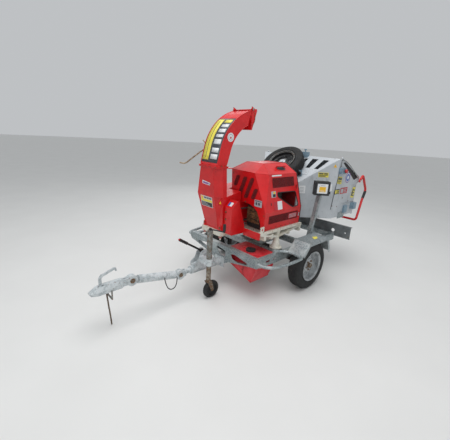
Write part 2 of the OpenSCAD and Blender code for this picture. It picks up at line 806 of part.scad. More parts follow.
module jockey_fork() at_axle() color("saddlebrown") {
    x0 = jockey_wheel_w / 2 + 2;
    y1 = jockey_y + jockey_trail;
    reach = jockey_wheel_d / 2 + 8;
    difference() {
        union() {
            translate([jockey_x, jockey_y, wheel_z + reach - 4])
                cylinder(h = 140 - reach, r = 9);
            block([jockey_x - x0 - 5, jockey_y - 30, wheel_z + reach - 8],
                [jockey_x + x0 + 5, jockey_y + 30, wheel_z + reach]);
            for (x = [jockey_x - x0 - 5, jockey_x + x0])
                plate_yz([
                    [jockey_y - 28, wheel_z + reach], [jockey_y + 28, wheel_z + reach],
                    [y1 + 18, wheel_z + 4], [y1 + 10, wheel_z - 16], [y1 - 12, wheel_z - 14]
                ], x, 5);
            rod_x(jockey_x - x0 - 12, jockey_x + x0 + 12, y1, wheel_z, 8);
        }
    }
}

module jockey_wheel() at_axle() color("black") {
    y1 = jockey_y + jockey_trail;
    difference() {
        translate([jockey_x, y1, wheel_z]) rotate([0, 90, 0]) rotate_extrude() polygon([
            [8 + run_fit, -20], [22, -20], [26, -8], [jockey_wheel_d * 0.32, -8],
            [jockey_wheel_d * 0.34, -jockey_wheel_w / 2], [jockey_wheel_d / 2 - 10, -jockey_wheel_w / 2],
            [jockey_wheel_d / 2, -jockey_wheel_w / 4], [jockey_wheel_d / 2, jockey_wheel_w / 4],
            [jockey_wheel_d / 2 - 10, jockey_wheel_w / 2], [jockey_wheel_d * 0.34, jockey_wheel_w / 2],
            [jockey_wheel_d * 0.32, 8], [26, 8], [22, 20], [8 + run_fit, 20]
        ]);
    }
}

module jockey_crank() at_axle() color("black") {
    z = jockey_top + 10;
    translate([jockey_x, jockey_y, jockey_top - 30]) cylinder(h = 46, r = 9);
    translate([jockey_x, jockey_y, jockey_top + 0.3]) cylinder(h = 18, r = 15);
    rod([jockey_x, jockey_y, z], [jockey_x + 150, jockey_y + 60, z], 7);
    translate([jockey_x + 150, jockey_y + 60, z - 6]) cylinder(h = 14, r = 9);
    translate([jockey_x + 150, jockey_y + 60, z + 8]) cylinder(h = 74, r = 15);
}

// ---------------------------------------------------------------- turntable

module slew_top() at_axle() color("ivory") {
    translate([0, slew_y, 0]) {
        translate([0, 0, slew_high + 0.3]) difference() {
            cylinder(h = deck_z - slew_high - 0.3, r = slew_r - 20);
            translate([0, 0, -1]) cylinder(h = 60, r = slew_r - 50);
        }
        translate([0, 0, slew_low + 2]) cylinder(h = deck_z - slew_low - 2, r = 40);
    }
    // Side pedestal: a cone on a round foot that glides over the side rail
    translate([truss_x + 25, -325, 0]) {
        translate([0, 0, frame_z + 12]) cylinder(h = deck_z - frame_z - 12, r1 = 52, r2 = 26);
        translate([0, 0, frame_z]) cylinder(h = 14, r = 72);
        translate([0, 0, frame_z - 6]) cylinder(h = 6, r = 56);
    }
}

// Lever that lets the turntable's lock go, with a rubber end
module slew_lock() at_axle() color("silver") {
    z = frame_z + 17;
    w = mud_out;
    difference() {
        translate([rail_x + 25, -470, rail_z + 0.3]) cylinder(h = 42, r = 22);
        translate([rail_x + 25, -470, rail_z - 10]) cylinder(h = 60, r = 8 + run_fit);
    }
    swept(bend([
        [rail_x + 36, -456, z], [rail_x + 90, -372, z], [w - 110, -345, z], [w - 58, -348, z]
    ], 50), guard_d / 2 - 1, side = [0, 0, 1]);
    rod([w - 60, -348, z], [w - 8, -352, z], guard_d / 2 + 4);
}

module base_frame() at_axle() color("ivory") {
    for (x = [-235, 35])
        block([x, -890, deck_z], [x + 50, channel_back, deck_top]);
    block([-250, -890, deck_z], [88, -840, deck_top]);
    for (y = [-585, -460, -150, 80])
        block([-235, y, deck_z], [truss_x + 50, y + 40, deck_top]);
    // Braced side girder under the hood's skirt
    difference() {
        plate_yz([
            [-640, 740], [130, 740], [130, 706], [-285, deck_z], [-365, deck_z], [-640, 706]
        ], truss_x, 50);
        plate_yz([[-575, 711], [-345, 711], [-345, 664]], truss_x - 1, 52);
        plate_yz([[-305, 711], [60, 711], [-305, 664]], truss_x - 1, 52);
    }
    for (y = [-585, 80])
        block([truss_x, y, deck_z], [truss_x + 50, y + 40, 711]);
    // Corner bracket with the transport lock's hole
    difference() {
        block([truss_x + 32, -640, 736], [truss_x + 38, -580, 806]);
        rod_x(truss_x + 30, truss_x + 40, -608, 772, 13);
    }
    // Rear bearers and the stools under the hopper's floor
    for (x = [-235, 35]) {
        block([x, channel_back - 1, deck_z], [x + 50, shoulder_y + 60, deck_top]);
        for (y = [270, shoulder_y])
            block([x, y, deck_top - 1], [x + 50, y + 50, throat_low]);
    }
    // Rubber mounts below the front cross member
    for (x = [-220, 57]) {
        translate([x, -865, 616]) cylinder(h = 25, r = 16);
        translate([x, -865, 590]) cylinder(h = 27, r = 8);
    }
}

// ---------------------------------------------------------------- chipping unit

module rotor_housing() at_axle() color("red") {
    difference() {
        union() {
            loft([
                [[-200, -866, 700], [8, -866, 700], [unit_r, -866, 700],
                 [unit_r, -600, 700], [-200, -600, 700]],
                [[unit_l, -935, 1090], [8, -935, 1090], [unit_r, -876, 1090],
                 [unit_r, -600, 1090], [unit_l, -600, 1090]]
            ]);
            loft([
                [[unit_l, -935, 1089], [8, -935, 1089], [unit_r, -876, 1089],
                 [unit_r, duct_rear, 1089], [unit_l, duct_rear, 1089]],
                [[-225, -950, flange_z], [-23, -950, flange_z], [60, -878, flange_z],
                 [60, duct_rear, flange_z], [-225, duct_rear, flange_z]]
            ]);
            plate_yz([[duct_rear - 1, 1088], [-600, 1088], [-600, 1134], [duct_rear - 1, 1092]],
                unit_l, unit_r - unit_l);
            // Flange under the chute, with the tongue of its clamp
            block([-236, -967, flange_z - 1], [72, -815, flange_z + 12]);
            block([20, -816, flange_z - 1], [104, -772, flange_z + 8]);
            // Bearing housings of the rotor
            rod_x(unit_r - 1, unit_r + 4, rotor_y, rotor_z, 52);
            rod_x(-262, -200, rotor_y, rotor_z, 46);
        }
        rod_x(-192, unit_r - 6, rotor_y, rotor_z, casing_r);
        rod_x(-300, 120, rotor_y, rotor_z, shaft_r + run_fit);
        // Duct from the rotor up to the chute
        loft([
            [[-192, -858, 880], [8, -858, 880], [unit_r - 6, -858, 880],
             [unit_r - 6, -742, 880], [-192, -742, 880]],
            [[unit_l + 6, -929, 1090], [6, -929, 1090], [unit_r - 6, -872, 1090],
             [unit_r - 6, duct_rear - 5, 1090], [unit_l + 6, duct_rear - 5, 1090]],
            [[-219, -944, flange_z - 4], [-26, -944, flange_z - 4], [54, -875, flange_z - 4],
             [54, duct_rear - 5, flange_z - 4], [-219, duct_rear - 5, flange_z - 4]]
        ]);
        translate([chute_x, chute_y, flange_z - 20]) cylinder(h = 60, r = spigot_r + turn_fit);
        // Infeed
        block([-188, -700, 792], [unit_r - 10, -590, 964]);
    }
    // Mounting lugs
    for (x = [-239, 38]) {
        plate_xz([
            [x, deck_top], [x + 38, deck_top], [x + 38, 718], [x + 30, 760], [x + 8, 760], [x, 718]
        ], -880, 14);
    }
    // Warning plate's bracket
    plate_yz([[-957, 1022], [-880, 1001], [-871, 1014], [-912, 1090], [-926, 1086]],
        unit_r + 1, 3);
    block([unit_r - 2, -884, 1010], [unit_r + 4, -872, 1050]);
}

// Two knives stand out of the drum; the shaft carries the belt pulley
module rotor() at_axle() color("dimgray") {
    rod_x(-188, unit_r - 10, rotor_y, rotor_z, rotor_d / 2 - 14);
    rod_x(-258, pulley_x0 + pulley_w + 8, rotor_y, rotor_z, shaft_r);
    translate([0, rotor_y, rotor_z]) for (a = [30, 210]) rotate([a, 0, 0])
        block([-186, -6, rotor_d / 2 - 30], [unit_r - 12, 8, rotor_d / 2 - 1]);
    pulley(rotor_y, rotor_z, rotor_pulley_d / 2, shaft_r - 1);
}

// Flat-belt pulley with raised rims
module pulley(y, z, r, bore) translate([pulley_x0, y, z]) rotate([0, 90, 0]) rotate_extrude()
    polygon([
        [bore, 0], [r + 7, 0], [r + 7, 4], [r, 6], [r, pulley_w - 6], [r + 7, pulley_w - 4],
        [r + 7, pulley_w], [bore, pulley_w]
    ]);

module engine_pulley() at_axle() color("dimgray") {
    pulley(engine_y, rotor_z, engine_pulley_d / 2, 15);
    rod_x(pulley_x0 - 4, 236, engine_y, rotor_z, 16);
}

// Loop round both pulleys at height t over them, drawn wider by e on each side
module belt_loop(t, e) hull() {
    x0 = pulley_x0 + 9 - e;
    x1 = pulley_x0 + pulley_w - 9 + e;
    rod_x(x0, x1, rotor_y, rotor_z, rotor_pulley_d / 2 + t);
    rod_x(x0, x1, engine_y, rotor_z, engine_pulley_d / 2 + t);
}

// Belt that drives the rotor
module drive_belt() at_axle() color("black") difference() {
    belt_loop(7, 0);
    belt_loop(0.5, 5);
}

module belt_cover() at_axle() color("red") {
    difference() {
        plate_yz([
            [-850, 690], [-838, 680], [-640, 680], [-640, 760], [-750, 1060], [-772, 1060],
            [-850, 984]
        ], cover_x0, cover_x1 - cover_x0);
        plate_yz([
            [-846, 692], [-836, 684], [-620, 684], [-620, 760], [-735, 1056], [-770, 1056],
            [-846, 982]
        ], cover_x0 + 4, cover_x1 - cover_x0 - 8);
        rod_x(cover_x0 - 2, cover_x0 + 6, rotor_y, rotor_z, 54);
    }
    // Apron below the hood's front arch
    block([cover_x1 - 4, -646, 655], [truss_x + 38, -642, 738]);
    for (z = [760, 860])
        rod_y(-856, -849, 148, z, 9);
}

module engine() at_axle() color("dimgray") {
    difference() {
        union() {
            block([188, -500, 790], [372, -130, 1000]);
            block([196, -470, 1000], [330, -180, 1120]);
            // Fan shroud and recoil cover on the outer side
            rod_x(371, 392, -320, 900, 118);
            // Flange on the drive side
            rod_x(180, 189, engine_y, rotor_z, 70);
            // Air filter, silencer and rocker cover
            rod_y(-440, -220, 300, 1170, 58);
            block([208, -400, 1118], [262, -230, 1190]);
            block([330, -470, 1000], [392, -360, 1080]);
        }
        rod_x(170, 240, engine_y, rotor_z, 16 + run_fit);
    }
    // Cooling fins
    for (z = [1012 : 16 : 1108])
        block([186, -480, z], [340, -170, z + 6]);
    // Mounting rails on the base frame's bearers
    for (x = [200, 340])
        block([x, -460, deck_top], [x + 30, -112, 791]);
}

module heat_shield() at_axle() color("saddlebrown") {
    difference() {
        block([168, -566, 800], [356, -562, 972]);
        for (z = [836, 884, 932])
            block([194, -570, z], [330, -560, z + 10]);
    }
    for (x = [192, 336])
        block([x, -562, 866], [x + 8, -500, 892]);
}

// ---------------------------------------------------------------- hood

// Corner points of the hood, drawn in by i; back and low move its open sides out
function hood_points(i, back = 0, low = 0) = [
    [hood_r - 3 - i, hood_front + i, skirt_z - low], [hood_r - i, hood_front + i, belt_z],
    [eave_x - 102 - i, hood_front + i, eave_z + 12 - i], [-115 + i, hood_front + i, ridge_z - 78 - i],
    [-73 + i, hood_front + i, skirt_z - low], [eave_x - i, hood_front + 125 + i, eave_z - i],
    [ridge_x - i / 2, hood_front + 215 + i, ridge_z - i], [-81 + i, hood_front + 205 + i, ridge_z - i],
    [hood_r - 3 - i, hood_back + back, skirt_z - low], [hood_r - i, hood_back + back, belt_z],
    [eave_x - i, hood_back - 38 + back, eave_z - i], [ridge_x - i / 2, hood_back - 38 + back, ridge_z - i],
    [-81 + i, hood_back - 38 + back, ridge_z - i], [-115 + i, hood_back - 38 + back, ridge_z - 78 - i],
    [-73 + i, hood_back + back, skirt_z - low]
];
module hood_body(i, back = 0, low = 0) hull() {
    p = hood_points(i, back, low);
    polyhedron(points = p, faces = [[for (k = [0 : len(p) - 1]) k]]);
}

module hood() at_axle() color("red") {
    difference() {
        hood_body(0);
        hood_body(hood_wall, 40, 20);
        // Arch in the front and open lower left side
        plate_xz([
            [-160, 700], [-160, 1017], [43, 1009], [120, 1012], [203, 1008], [270, 984],
            [320, 947], [360, 880], [385, 810], [397, 700]
        ], hood_front - 20, 60);
        block([-160, hood_front - 20, 700], [-40, hood_back + 60, 1017]);
        // Louvres in the front
        for (q = [[0, 1299, 1196], [112, 1294, 1087], [219, 1296, 1077], [284, 1186, 1077]])
            plate_xz([
                [q[0] - 18, q[1]], [q[0] + 18, q[1]], [q[0] + 18 - (q[1] - q[2]) * 0.36, q[2]],
                [q[0] - 18 - (q[1] - q[2]) * 0.36, q[2]]
            ], hood_front - 20, 60);
        // Window and grilles in the near side
        plate_yz([
            [-334, 1155], [-12, 1144], [8, 1130], [39, 990], [25, 966], [-83, 964], [-338, 1105]
        ], 300, 200);
        for (y = [-408 : 40 : -40]) for (z = [1218, 1264])
            block([300, y, z], [500, y + 30, z + 36]);
        for (y = [-500 : 40 : 60])
            block([380, y, 832], [500, y + 30, 876]);
    }
    // Hinge knuckles and their straps on the far side
    for (y = hinge_y) {
        rod_y(y - 13, y + 73, hinge_x, hinge_z, 7);
        block([hinge_x + 4, y, hinge_z - 6], [-90, y + 60, hinge_z + 6]);
    }
    // Bail handle on the sloping roof
    for (y = [-230, -84])
        rod([255, y, eave_z + 45], [272, y, eave_z + 76], 7);
    rod([272, -237, eave_z + 76], [272, -77, eave_z + 76], 8);
}

// ---------------------------------------------------------------- chute

function on_bend(r, a) = [bend_y - r * sin(a), bend_z + r * cos(a)];

// Side outline of the chute, drawn in by i and run on past its ends by e
function chute_outline(i, e) = concat(
    [[chute_front + i - e * cos(bend_in), chute_z - e]],
    [for (k = [0 : 9]) on_bend(chute_bend_r - i, bend_in + (bend_out - bend_in) * k / 9)],
    [on_bend(chute_bend_r - i, bend_out) + e * [cos(bend_out), sin(bend_out)]],
    [on_bend(chute_bend_r - chute_t + i, bend_out + 9) + e * [cos(bend_out), sin(bend_out)]],
    [for (k = [9 : -1 : 0])
        on_bend(chute_bend_r - chute_t + i, bend_in + (bend_out + 9 - bend_in) * k / 9)],
    [[chute_front + chute_t - i - e * cos(bend_in), chute_z - e]]
);

flap_y = on_bend(chute_bend_r, bend_out)[0] + 22;
flap_z = on_bend(chute_bend_r, bend_out)[1] + 14;

module chute() at_axle() color("red") {
    difference() {
        union() {
            plate_yz(chute_outline(0, 0), chute_x0, chute_w);
            // Base flange and the spigot it turns on
            block([-239, -970, chute_low], [75, -812, chute_low + 10]);
            block([-226, chute_front, chute_low + 5], [chute_x0 + chute_w, chute_front + chute_t,
                chute_z + 1]);
            translate([chute_x, chute_y, flange_z - 8]) cylinder(h = 30, r = spigot_r);
            // Ears of the flap's hinge
            for (x = [chute_x0, chute_x0 + chute_w - 4])
                plate_yz([
                    [flap_y - 46, flap_z - 40], [flap_y + 14, flap_z - 16], [flap_y + 14, flap_z + 14],
                    [flap_y - 14, flap_z + 14]
                ], x, 4);
        }
        plate_yz(chute_outline(chute_wall, 12), chute_x0 + chute_wall, chute_w - 2 * chute_wall);
        translate([chute_x, chute_y, flange_z - 30]) cylinder(h = 62, r = spigot_r - 6);
        rod_x(chute_x0 - 2, chute_x0 + chute_w + 2, flap_y, flap_z, 5 + run_fit);
    }
    // Bolts round the base flange
    for (x = [-205, -85, 45])
        translate([x, -963, chute_low + 9.5]) cylinder(h = 7, r = 6);
}

// Deflector hung at the end of the chute, with a cheek on each side
module chute_flap() at_axle() color("red") {
    x1 = chute_x0 + chute_w;
    rod_x(chute_x0 - 12, x1 + 12, flap_y, flap_z, 5);
    for (x = [chute_x0 - 5, x1 + 1])
        plate_yz([
            [flap_y - 16, flap_z + 32], [flap_y + 72, flap_z - 8], [flap_y + 8, flap_z - 214],
            [flap_y - 2, flap_z - 214]
        ], x, 4);
    plate_yz([
        [flap_y + 66, flap_z + 10], [flap_y + 72, flap_z - 8], [flap_y + 8, flap_z - 214],
        [flap_y + 4, flap_z - 212], [flap_y + 66, flap_z - 8]
    ], chute_x0 - 5, chute_w + 10);
}

// Bent bar that turns the chute, with a short stay above it
module chute_handle() at_axle() color("tan") {
    swept(bend(handle_route, 12, 3), 8, 8, side = [0, 0, 1]);
    rod([chute_x0 - 5, -885, 1640], [-268, -900, 1676], 6);
    block([chute_x0 - 8, -908, 1570], [chute_x0, -886, 1594]);
    block([chute_x0 - 8, -893, 1632], [chute_x0, -877, 1648]);
}

// ---------------------------------------------------------------- infeed

module feed_housing() at_axle() color("red") {
    difference() {
        union() {
            block([unit_l - 2, -598, 750], [unit_r, channel_back, 1005]);
            // Casing over the upper feed gear
            plate_yz([[-598, 1000], [-300, 1000], [-300, 1165], [-407, 1172], [-598, 1134]],
                unit_l, 162);
        }
        block([unit_l + 3, -600, 755], [unit_r - 5, channel_back + 1, 1000]);
        plate_yz([[-594, 990], [-304, 990], [-304, 1161], [-406, 1167], [-594, 1130]],
            unit_l + 4, 154);
        rod_x(unit_l - 10, unit_r + 10, roller_y, roller_z, 15 + run_fit);
    }
    // Ears of the hood's hinge
    for (y = hinge_y) for (e = [y - 12, y + 64])
        difference() {
            block([hinge_x - 14, e, y > -300 ? 1000 : 1130], [hinge_x + 12, e + 8, hinge_z + 12]);
            rod_y(e - 1, e + 9, hinge_x, hinge_z, 7 + run_fit);
        }
    for (y = [-560, 150]) for (x = [-235, 35])
        block([x, y, deck_top], [x + 50, y + 40, 751]);
}

// Toothed roller that draws the branches in
module feed_roller() at_axle() color("gray") {
    x0 = (unit_l + unit_r - roller_l) / 2;
    rod_x(x0, x0 + roller_l, roller_y, roller_z, roller_d / 2 - 14);
    rod_x(unit_l - 8, unit_r + 6, roller_y, roller_z, 15);
    translate([0, roller_y, roller_z]) for (a = [0 : 45 : 315]) rotate([a, 0, 0])
        block([x0, -4, roller_d / 2 - 20], [x0 + roller_l, 4, roller_d / 2]);
}

// Corner points of the hopper's flared front, drawn in by i and run on by e at the rear
function flare_points(i, e) = [for (s = [-1, 1]) each [
    [s * (throat_x - i), throat_y + i, throat_low + i],
    [s * (throat_x - i), throat_y + i, throat_top - i],
    [s * (mouth_x - i), shoulder_y, throat_low + i],
    [s * (mouth_x - i), shoulder_y, shoulder_z - i],
    [s * (mouth_x - i), shoulder_y + e, throat_low + i],
    [s * (mouth_x - i), shoulder_y + e, shoulder_z - i]
]];
module flare(i, e) hull() {
    p = flare_points(i, e);
    polyhedron(points = p, faces = [[for (k = [0 : len(p) - 1]) k]]);
}

module hopper() at_axle() color("lightgray") {
    w = hopper_wall;
    tip_z = 1205;
    difference() {
        union() {
            difference() {
                flare(0, 4);
                flare(w, 40);
            }
            // Side plates and floor of the mouth
            for (x = [-mouth_x, mouth_x - w])
                plate_yz([
                    [shoulder_y, throat_low], [shoulder_y, shoulder_z], [shoulder_y + 40, shoulder_z - 14],
                    [mouth_tip, tip_z + 12], [mouth_tip + 30, tip_z - 60], [mouth_back, 900],
                    [mouth_back + 16, 790], [mouth_back + 16, throat_low - 18],
                    [mouth_back - 30, throat_low - 18], [mouth_back - 40, throat_low]
                ], x, w);
            block([-mouth_x, shoulder_y - 1, throat_low], [mouth_x, mouth_back - 14, throat_low + w]);
            // Edge tube and curtain over the mouth
            plate_yz([
                [shoulder_y + 1, shoulder_z], [shoulder_y + 40, shoulder_z - 14], [mouth_tip, tip_z + 12],
                [mouth_tip, tip_z + 6], [shoulder_y + 38, shoulder_z - 20], [shoulder_y + 1, shoulder_z - 6]
            ], -mouth_x, 2 * mouth_x);
        }
        rod_x(-mouth_x - 5, mouth_x + 5, table_y, table_z, 7 + run_fit);
        // Opening from the channel
        block([unit_l + 3, throat_y - 5, throat_low + 5], [unit_r - 5, throat_y + w + 5, 1000]);
        // Fan of slots in the roof
        for (s = [-1, 1]) for (q = [
            [[168, 491], [184, 554], [134, 554], [140, 491]],
            [[288, 426], [333, 558], [244, 558], [230, 426]],
            [[416, 424], [488, 556], [408, 556], [358, 424]]
        ])
            translate([0, 0, 1240]) linear_extrude(400) polygon([for (c = q) [s * c[0], c[1]]]);
    }
    // Curtain edge above each side, on a tube, with the corner bracket of the bar's pivot
    for (s = [-1, 1]) {
        x = s > 0 ? mouth_x - 2 * w : -mouth_x + w;
        plate_yz([
            [shoulder_y + 50, shoulder_z - 40], [shoulder_y + 50, shoulder_z + 14],
            [mouth_back - 10, 1296], [mouth_back - 60, 1200]
        ], x, w);
        rod(
            [x + w / 2, shoulder_y + 60, shoulder_z + 12],
            [x + w / 2, mouth_back + 40, pivot_z + 50], 9
        );
        plate_yz([
            [mouth_back - 120, pivot_z - 10], [mouth_back - 60, pivot_z + 30],
            [mouth_back + 30, pivot_z + 50], [mouth_back + 52, pivot_z + 34],
            [mouth_back + 40, pivot_z - 26], [mouth_back - 70, pivot_z - 76]
        ], s > 0 ? mouth_x - w : -mouth_x, w);
        rod_x(s > 0 ? mouth_x - 1 : -bar_x - 8, s > 0 ? bar_x + 8 : -mouth_x + 1,
            pivot_y, pivot_z, 8);
    }
    // Spare wheel's post and clamp on the roof
    at_spare() {
        h = spare_w / 2 + spare_gap;
        translate([0, 0, -h - 2]) cylinder(h = h + 2 + 0.16 * spare_w, r = 32);
        translate([0, 0, 0.16 * spare_w - 4]) cylinder(h = 4, r = 70);
        translate([0, 0, 0.16 * spare_w - 1]) cylinder(h = 26, r = 16);
        translate([0, 0, 0.2 * spare_w + 0.3]) cylinder(h = 8, r = 45);
        block([-150, -60, -h - 2], [380, 40, -h + 4]);
    }
}

// Frame of the spare wheel: +Z away from the hopper's roof
module at_spare() translate([
    spare_x,
    throat_y + spare_run * cos(roof_angle) - (spare_w / 2 + spare_gap) * sin(roof_angle),
    throat_top + spare_run * sin(roof_angle) + (spare_w / 2 + spare_gap) * cos(roof_angle)
]) rotate([roof_angle, 0, 0]) children();

module spare_tyre() at_axle() at_spare() color("black")
    rotate_extrude() tyre_section(spare_d, spare_w, rim_d);
module spare_rim() at_axle() at_spare() color("black") rim_shape(rim_d, spare_w, 34);

// Table folded up across the hopper's mouth
module feed_table() at_axle() color("gray") {
    w = mouth_x - hopper_wall - 6;
    y = table_y - 10;
    rod_x(-mouth_x, mouth_x, table_y, table_z, 7);
    block([-w, y + 4, throat_low - 4], [w, y + 8, throat_low + 430]);
    block([-w, y + 4, throat_low + 426], [w, y + 26, throat_low + 430]);
    for (x = [-w, w - 4])
        block([x, y + 4, throat_low + 10], [x + 4, y + 26, throat_low + 430]);
}

// Bar round the mouth that starts, stops and reverses the infeed
module control_bar() at_axle() color("red") {
    d = mouth_back - 1200;
    side = [[1290, 1298], [1478, 1070], [1418, 943], [1326, 626]];
    route = concat(
        [[bar_x, pivot_y + 16, pivot_z + 12]],
        [for (q = side) [bar_x, q[0] + d, q[1]]],
        [for (k = [3 : -1 : 0]) [-bar_x, side[k][0] + d, side[k][1]]],
        [[-bar_x, pivot_y + 16, pivot_z + 12]]
    );
    difference() {
        union() {
            swept(bend(route, 40, 4), bar_d / 2, 12, side = [0.31, 0.81, 0.5]);
            for (x = [-bar_x - 7, bar_x - 7])
                rod_x(x, x + 14, pivot_y, pivot_z, 24);
        }
        rod_x(-bar_x - 30, -bar_x + 30, pivot_y, pivot_z, 8 + run_fit);
        rod_x(bar_x - 30, bar_x + 30, pivot_y, pivot_z, 8 + run_fit);
    }
}

module switch_boxes() at_axle() color("lightblue") {
    x = mouth_x;
    block([x, 600, 1345], [x + 45, 648, 1415]);
    rod_y(592, 601, x + 22, 1380, 14);
    difference() {
        block([x, 652, 1342], [x + 38, 728, 1418]);
        rod_x(x + 8, x + 40, 690, 1380, 8 + run_fit);
    }
    block([x, 1090, 830], [x + 60, 1170, 922]);
    block([x, 870, 800], [x + 30, 960, 900]);
    // Hydraulic valve on the roof's top edge
    plate_yz([
        [560, shoulder_z - 25], [shoulder_y, shoulder_z + 0.1], [604, shoulder_z + 0.1],
        [604, shoulder_z + 50], [560, shoulder_z + 50]
    ], 70, 90);
    translate([104, 582, shoulder_z + 49]) cylinder(h = 34, r = 8);
    translate([104, 582, shoulder_z + 72]) cylinder(h = 16, r = 16);
}

module stop_button() at_axle() color("crimson") {
    x = mouth_x + 38;
    rod_x(x - 22, x + 16, 690, 1380, 8);
    rod_x(x + 10, x + 28, 690, 1380, 24);
}

front_beam();
chassis_rails();
axle_beam();
mudguard_left();
mudguard_right();
guard_tubes();
overrun_housing();
brake_bracket();
jockey_clamp();
fuel_tank();
tank_cap();
light_board();
box_post();
document_box();
box_lid();
slew_base();
tyre_left();
rim_left();
hub_left();
tyre_right();
rim_right();
hub_right();
draw_shaft();
drawbar_tube();
drawbar_bolts();
coupling_head();
coupling_handle();
cable_shackle();
breakaway_cable();
lighting_cable();
brake_lever();
lever_button();
jockey_tube();
jockey_inner();
jockey_fork();
jockey_wheel();
jockey_crank();
slew_top();
slew_lock();
base_frame();
rotor_housing();
belt_cover();
rotor();
engine_pulley();
drive_belt();
engine();
heat_shield();
hood();
chute();
chute_flap();
chute_handle();
feed_housing();
feed_roller();
hopper();
feed_table();
control_bar();
switch_boxes();
stop_button();
spare_tyre();
spare_rim();
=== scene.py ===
import math

import bmesh
import bpy
from mathutils import Matrix, Vector


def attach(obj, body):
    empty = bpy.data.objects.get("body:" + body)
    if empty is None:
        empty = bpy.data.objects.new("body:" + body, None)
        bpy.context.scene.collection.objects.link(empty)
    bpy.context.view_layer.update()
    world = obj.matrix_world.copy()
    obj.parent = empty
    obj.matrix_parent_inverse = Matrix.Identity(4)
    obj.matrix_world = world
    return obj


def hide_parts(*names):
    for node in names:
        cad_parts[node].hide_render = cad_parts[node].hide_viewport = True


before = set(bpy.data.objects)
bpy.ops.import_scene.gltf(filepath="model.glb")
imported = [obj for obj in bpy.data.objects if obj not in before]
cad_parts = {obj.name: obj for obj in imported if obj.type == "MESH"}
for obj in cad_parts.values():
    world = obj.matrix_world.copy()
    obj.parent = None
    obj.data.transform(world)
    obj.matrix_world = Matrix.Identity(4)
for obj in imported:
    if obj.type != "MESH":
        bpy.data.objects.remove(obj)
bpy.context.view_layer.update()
scene = bpy.context.scene

AXLE_Y = 0.3975  # the wheels' axle, behind the middle of the whole machine
UP = Vector((0, 0, 1))


def at(x, y, z):
    """A point in metres, from its place in mm: across from the middle, back from the axle, above ground."""
    return Vector((x / 1000, y / 1000 + AXLE_Y, z / 1000))


# ---------------------------------------------------------------- camera

def place_camera():
    azimuth, height, tilt = (math.radians(a) for a in (46.979, 16.517, 3.099))
    back = Vector((
        math.sin(azimuth) * math.cos(height), -math.cos(azimuth) * math.cos(height), math.sin(height)
    ))
    side = UP.cross(back).normalized()
    rise = back.cross(side)
    side, rise = (
        math.cos(tilt) * side + math.sin(tilt) * rise,
        math.cos(tilt) * rise - math.sin(tilt) * side,
    )
    lens = bpy.data.cameras.new("camera")
    lens.sensor_width = 36
    lens.lens = 22.73
    lens.clip_end = 200
    camera = bpy.data.objects.new("camera", lens)
    camera.matrix_world = (
        Matrix.Translation((2.3145, -2.91128 + AXLE_Y, 1.73451))
        @ Matrix((side, rise, back)).transposed().to_4x4()
    )
    scene.collection.objects.link(camera)
    scene.camera = camera


place_camera()

# ---------------------------------------------------------------- materials


def linear(code, alpha=1.0):
    """An sRGB hex colour as the linear colour that a shader takes."""
    parts = [int(code[i:i + 2], 16) / 255 for i in (1, 3, 5)]
    return [c / 12.92 if c <= 0.04045 else ((c + 0.055) / 1.055) ** 2.4 for c in parts] + [alpha]


def add(tree, kind, settings=None, **inputs):
    """Adds a shader node with its settings; each input takes a value or the output that feeds it."""
    made = tree.nodes.new("ShaderNode" + kind)
    for name, value in (settings or {}).items():
        setattr(made, name, value)
    for name, value in inputs.items():
        key = int(name[1:]) if name[0] == "i" and name[1:].isdigit() else name.replace("_", " ")
        socket = made.inputs[key]
        if isinstance(value, bpy.types.NodeSocket):
            tree.links.new(value, socket)
        else:
            socket.default_value = value
    return made


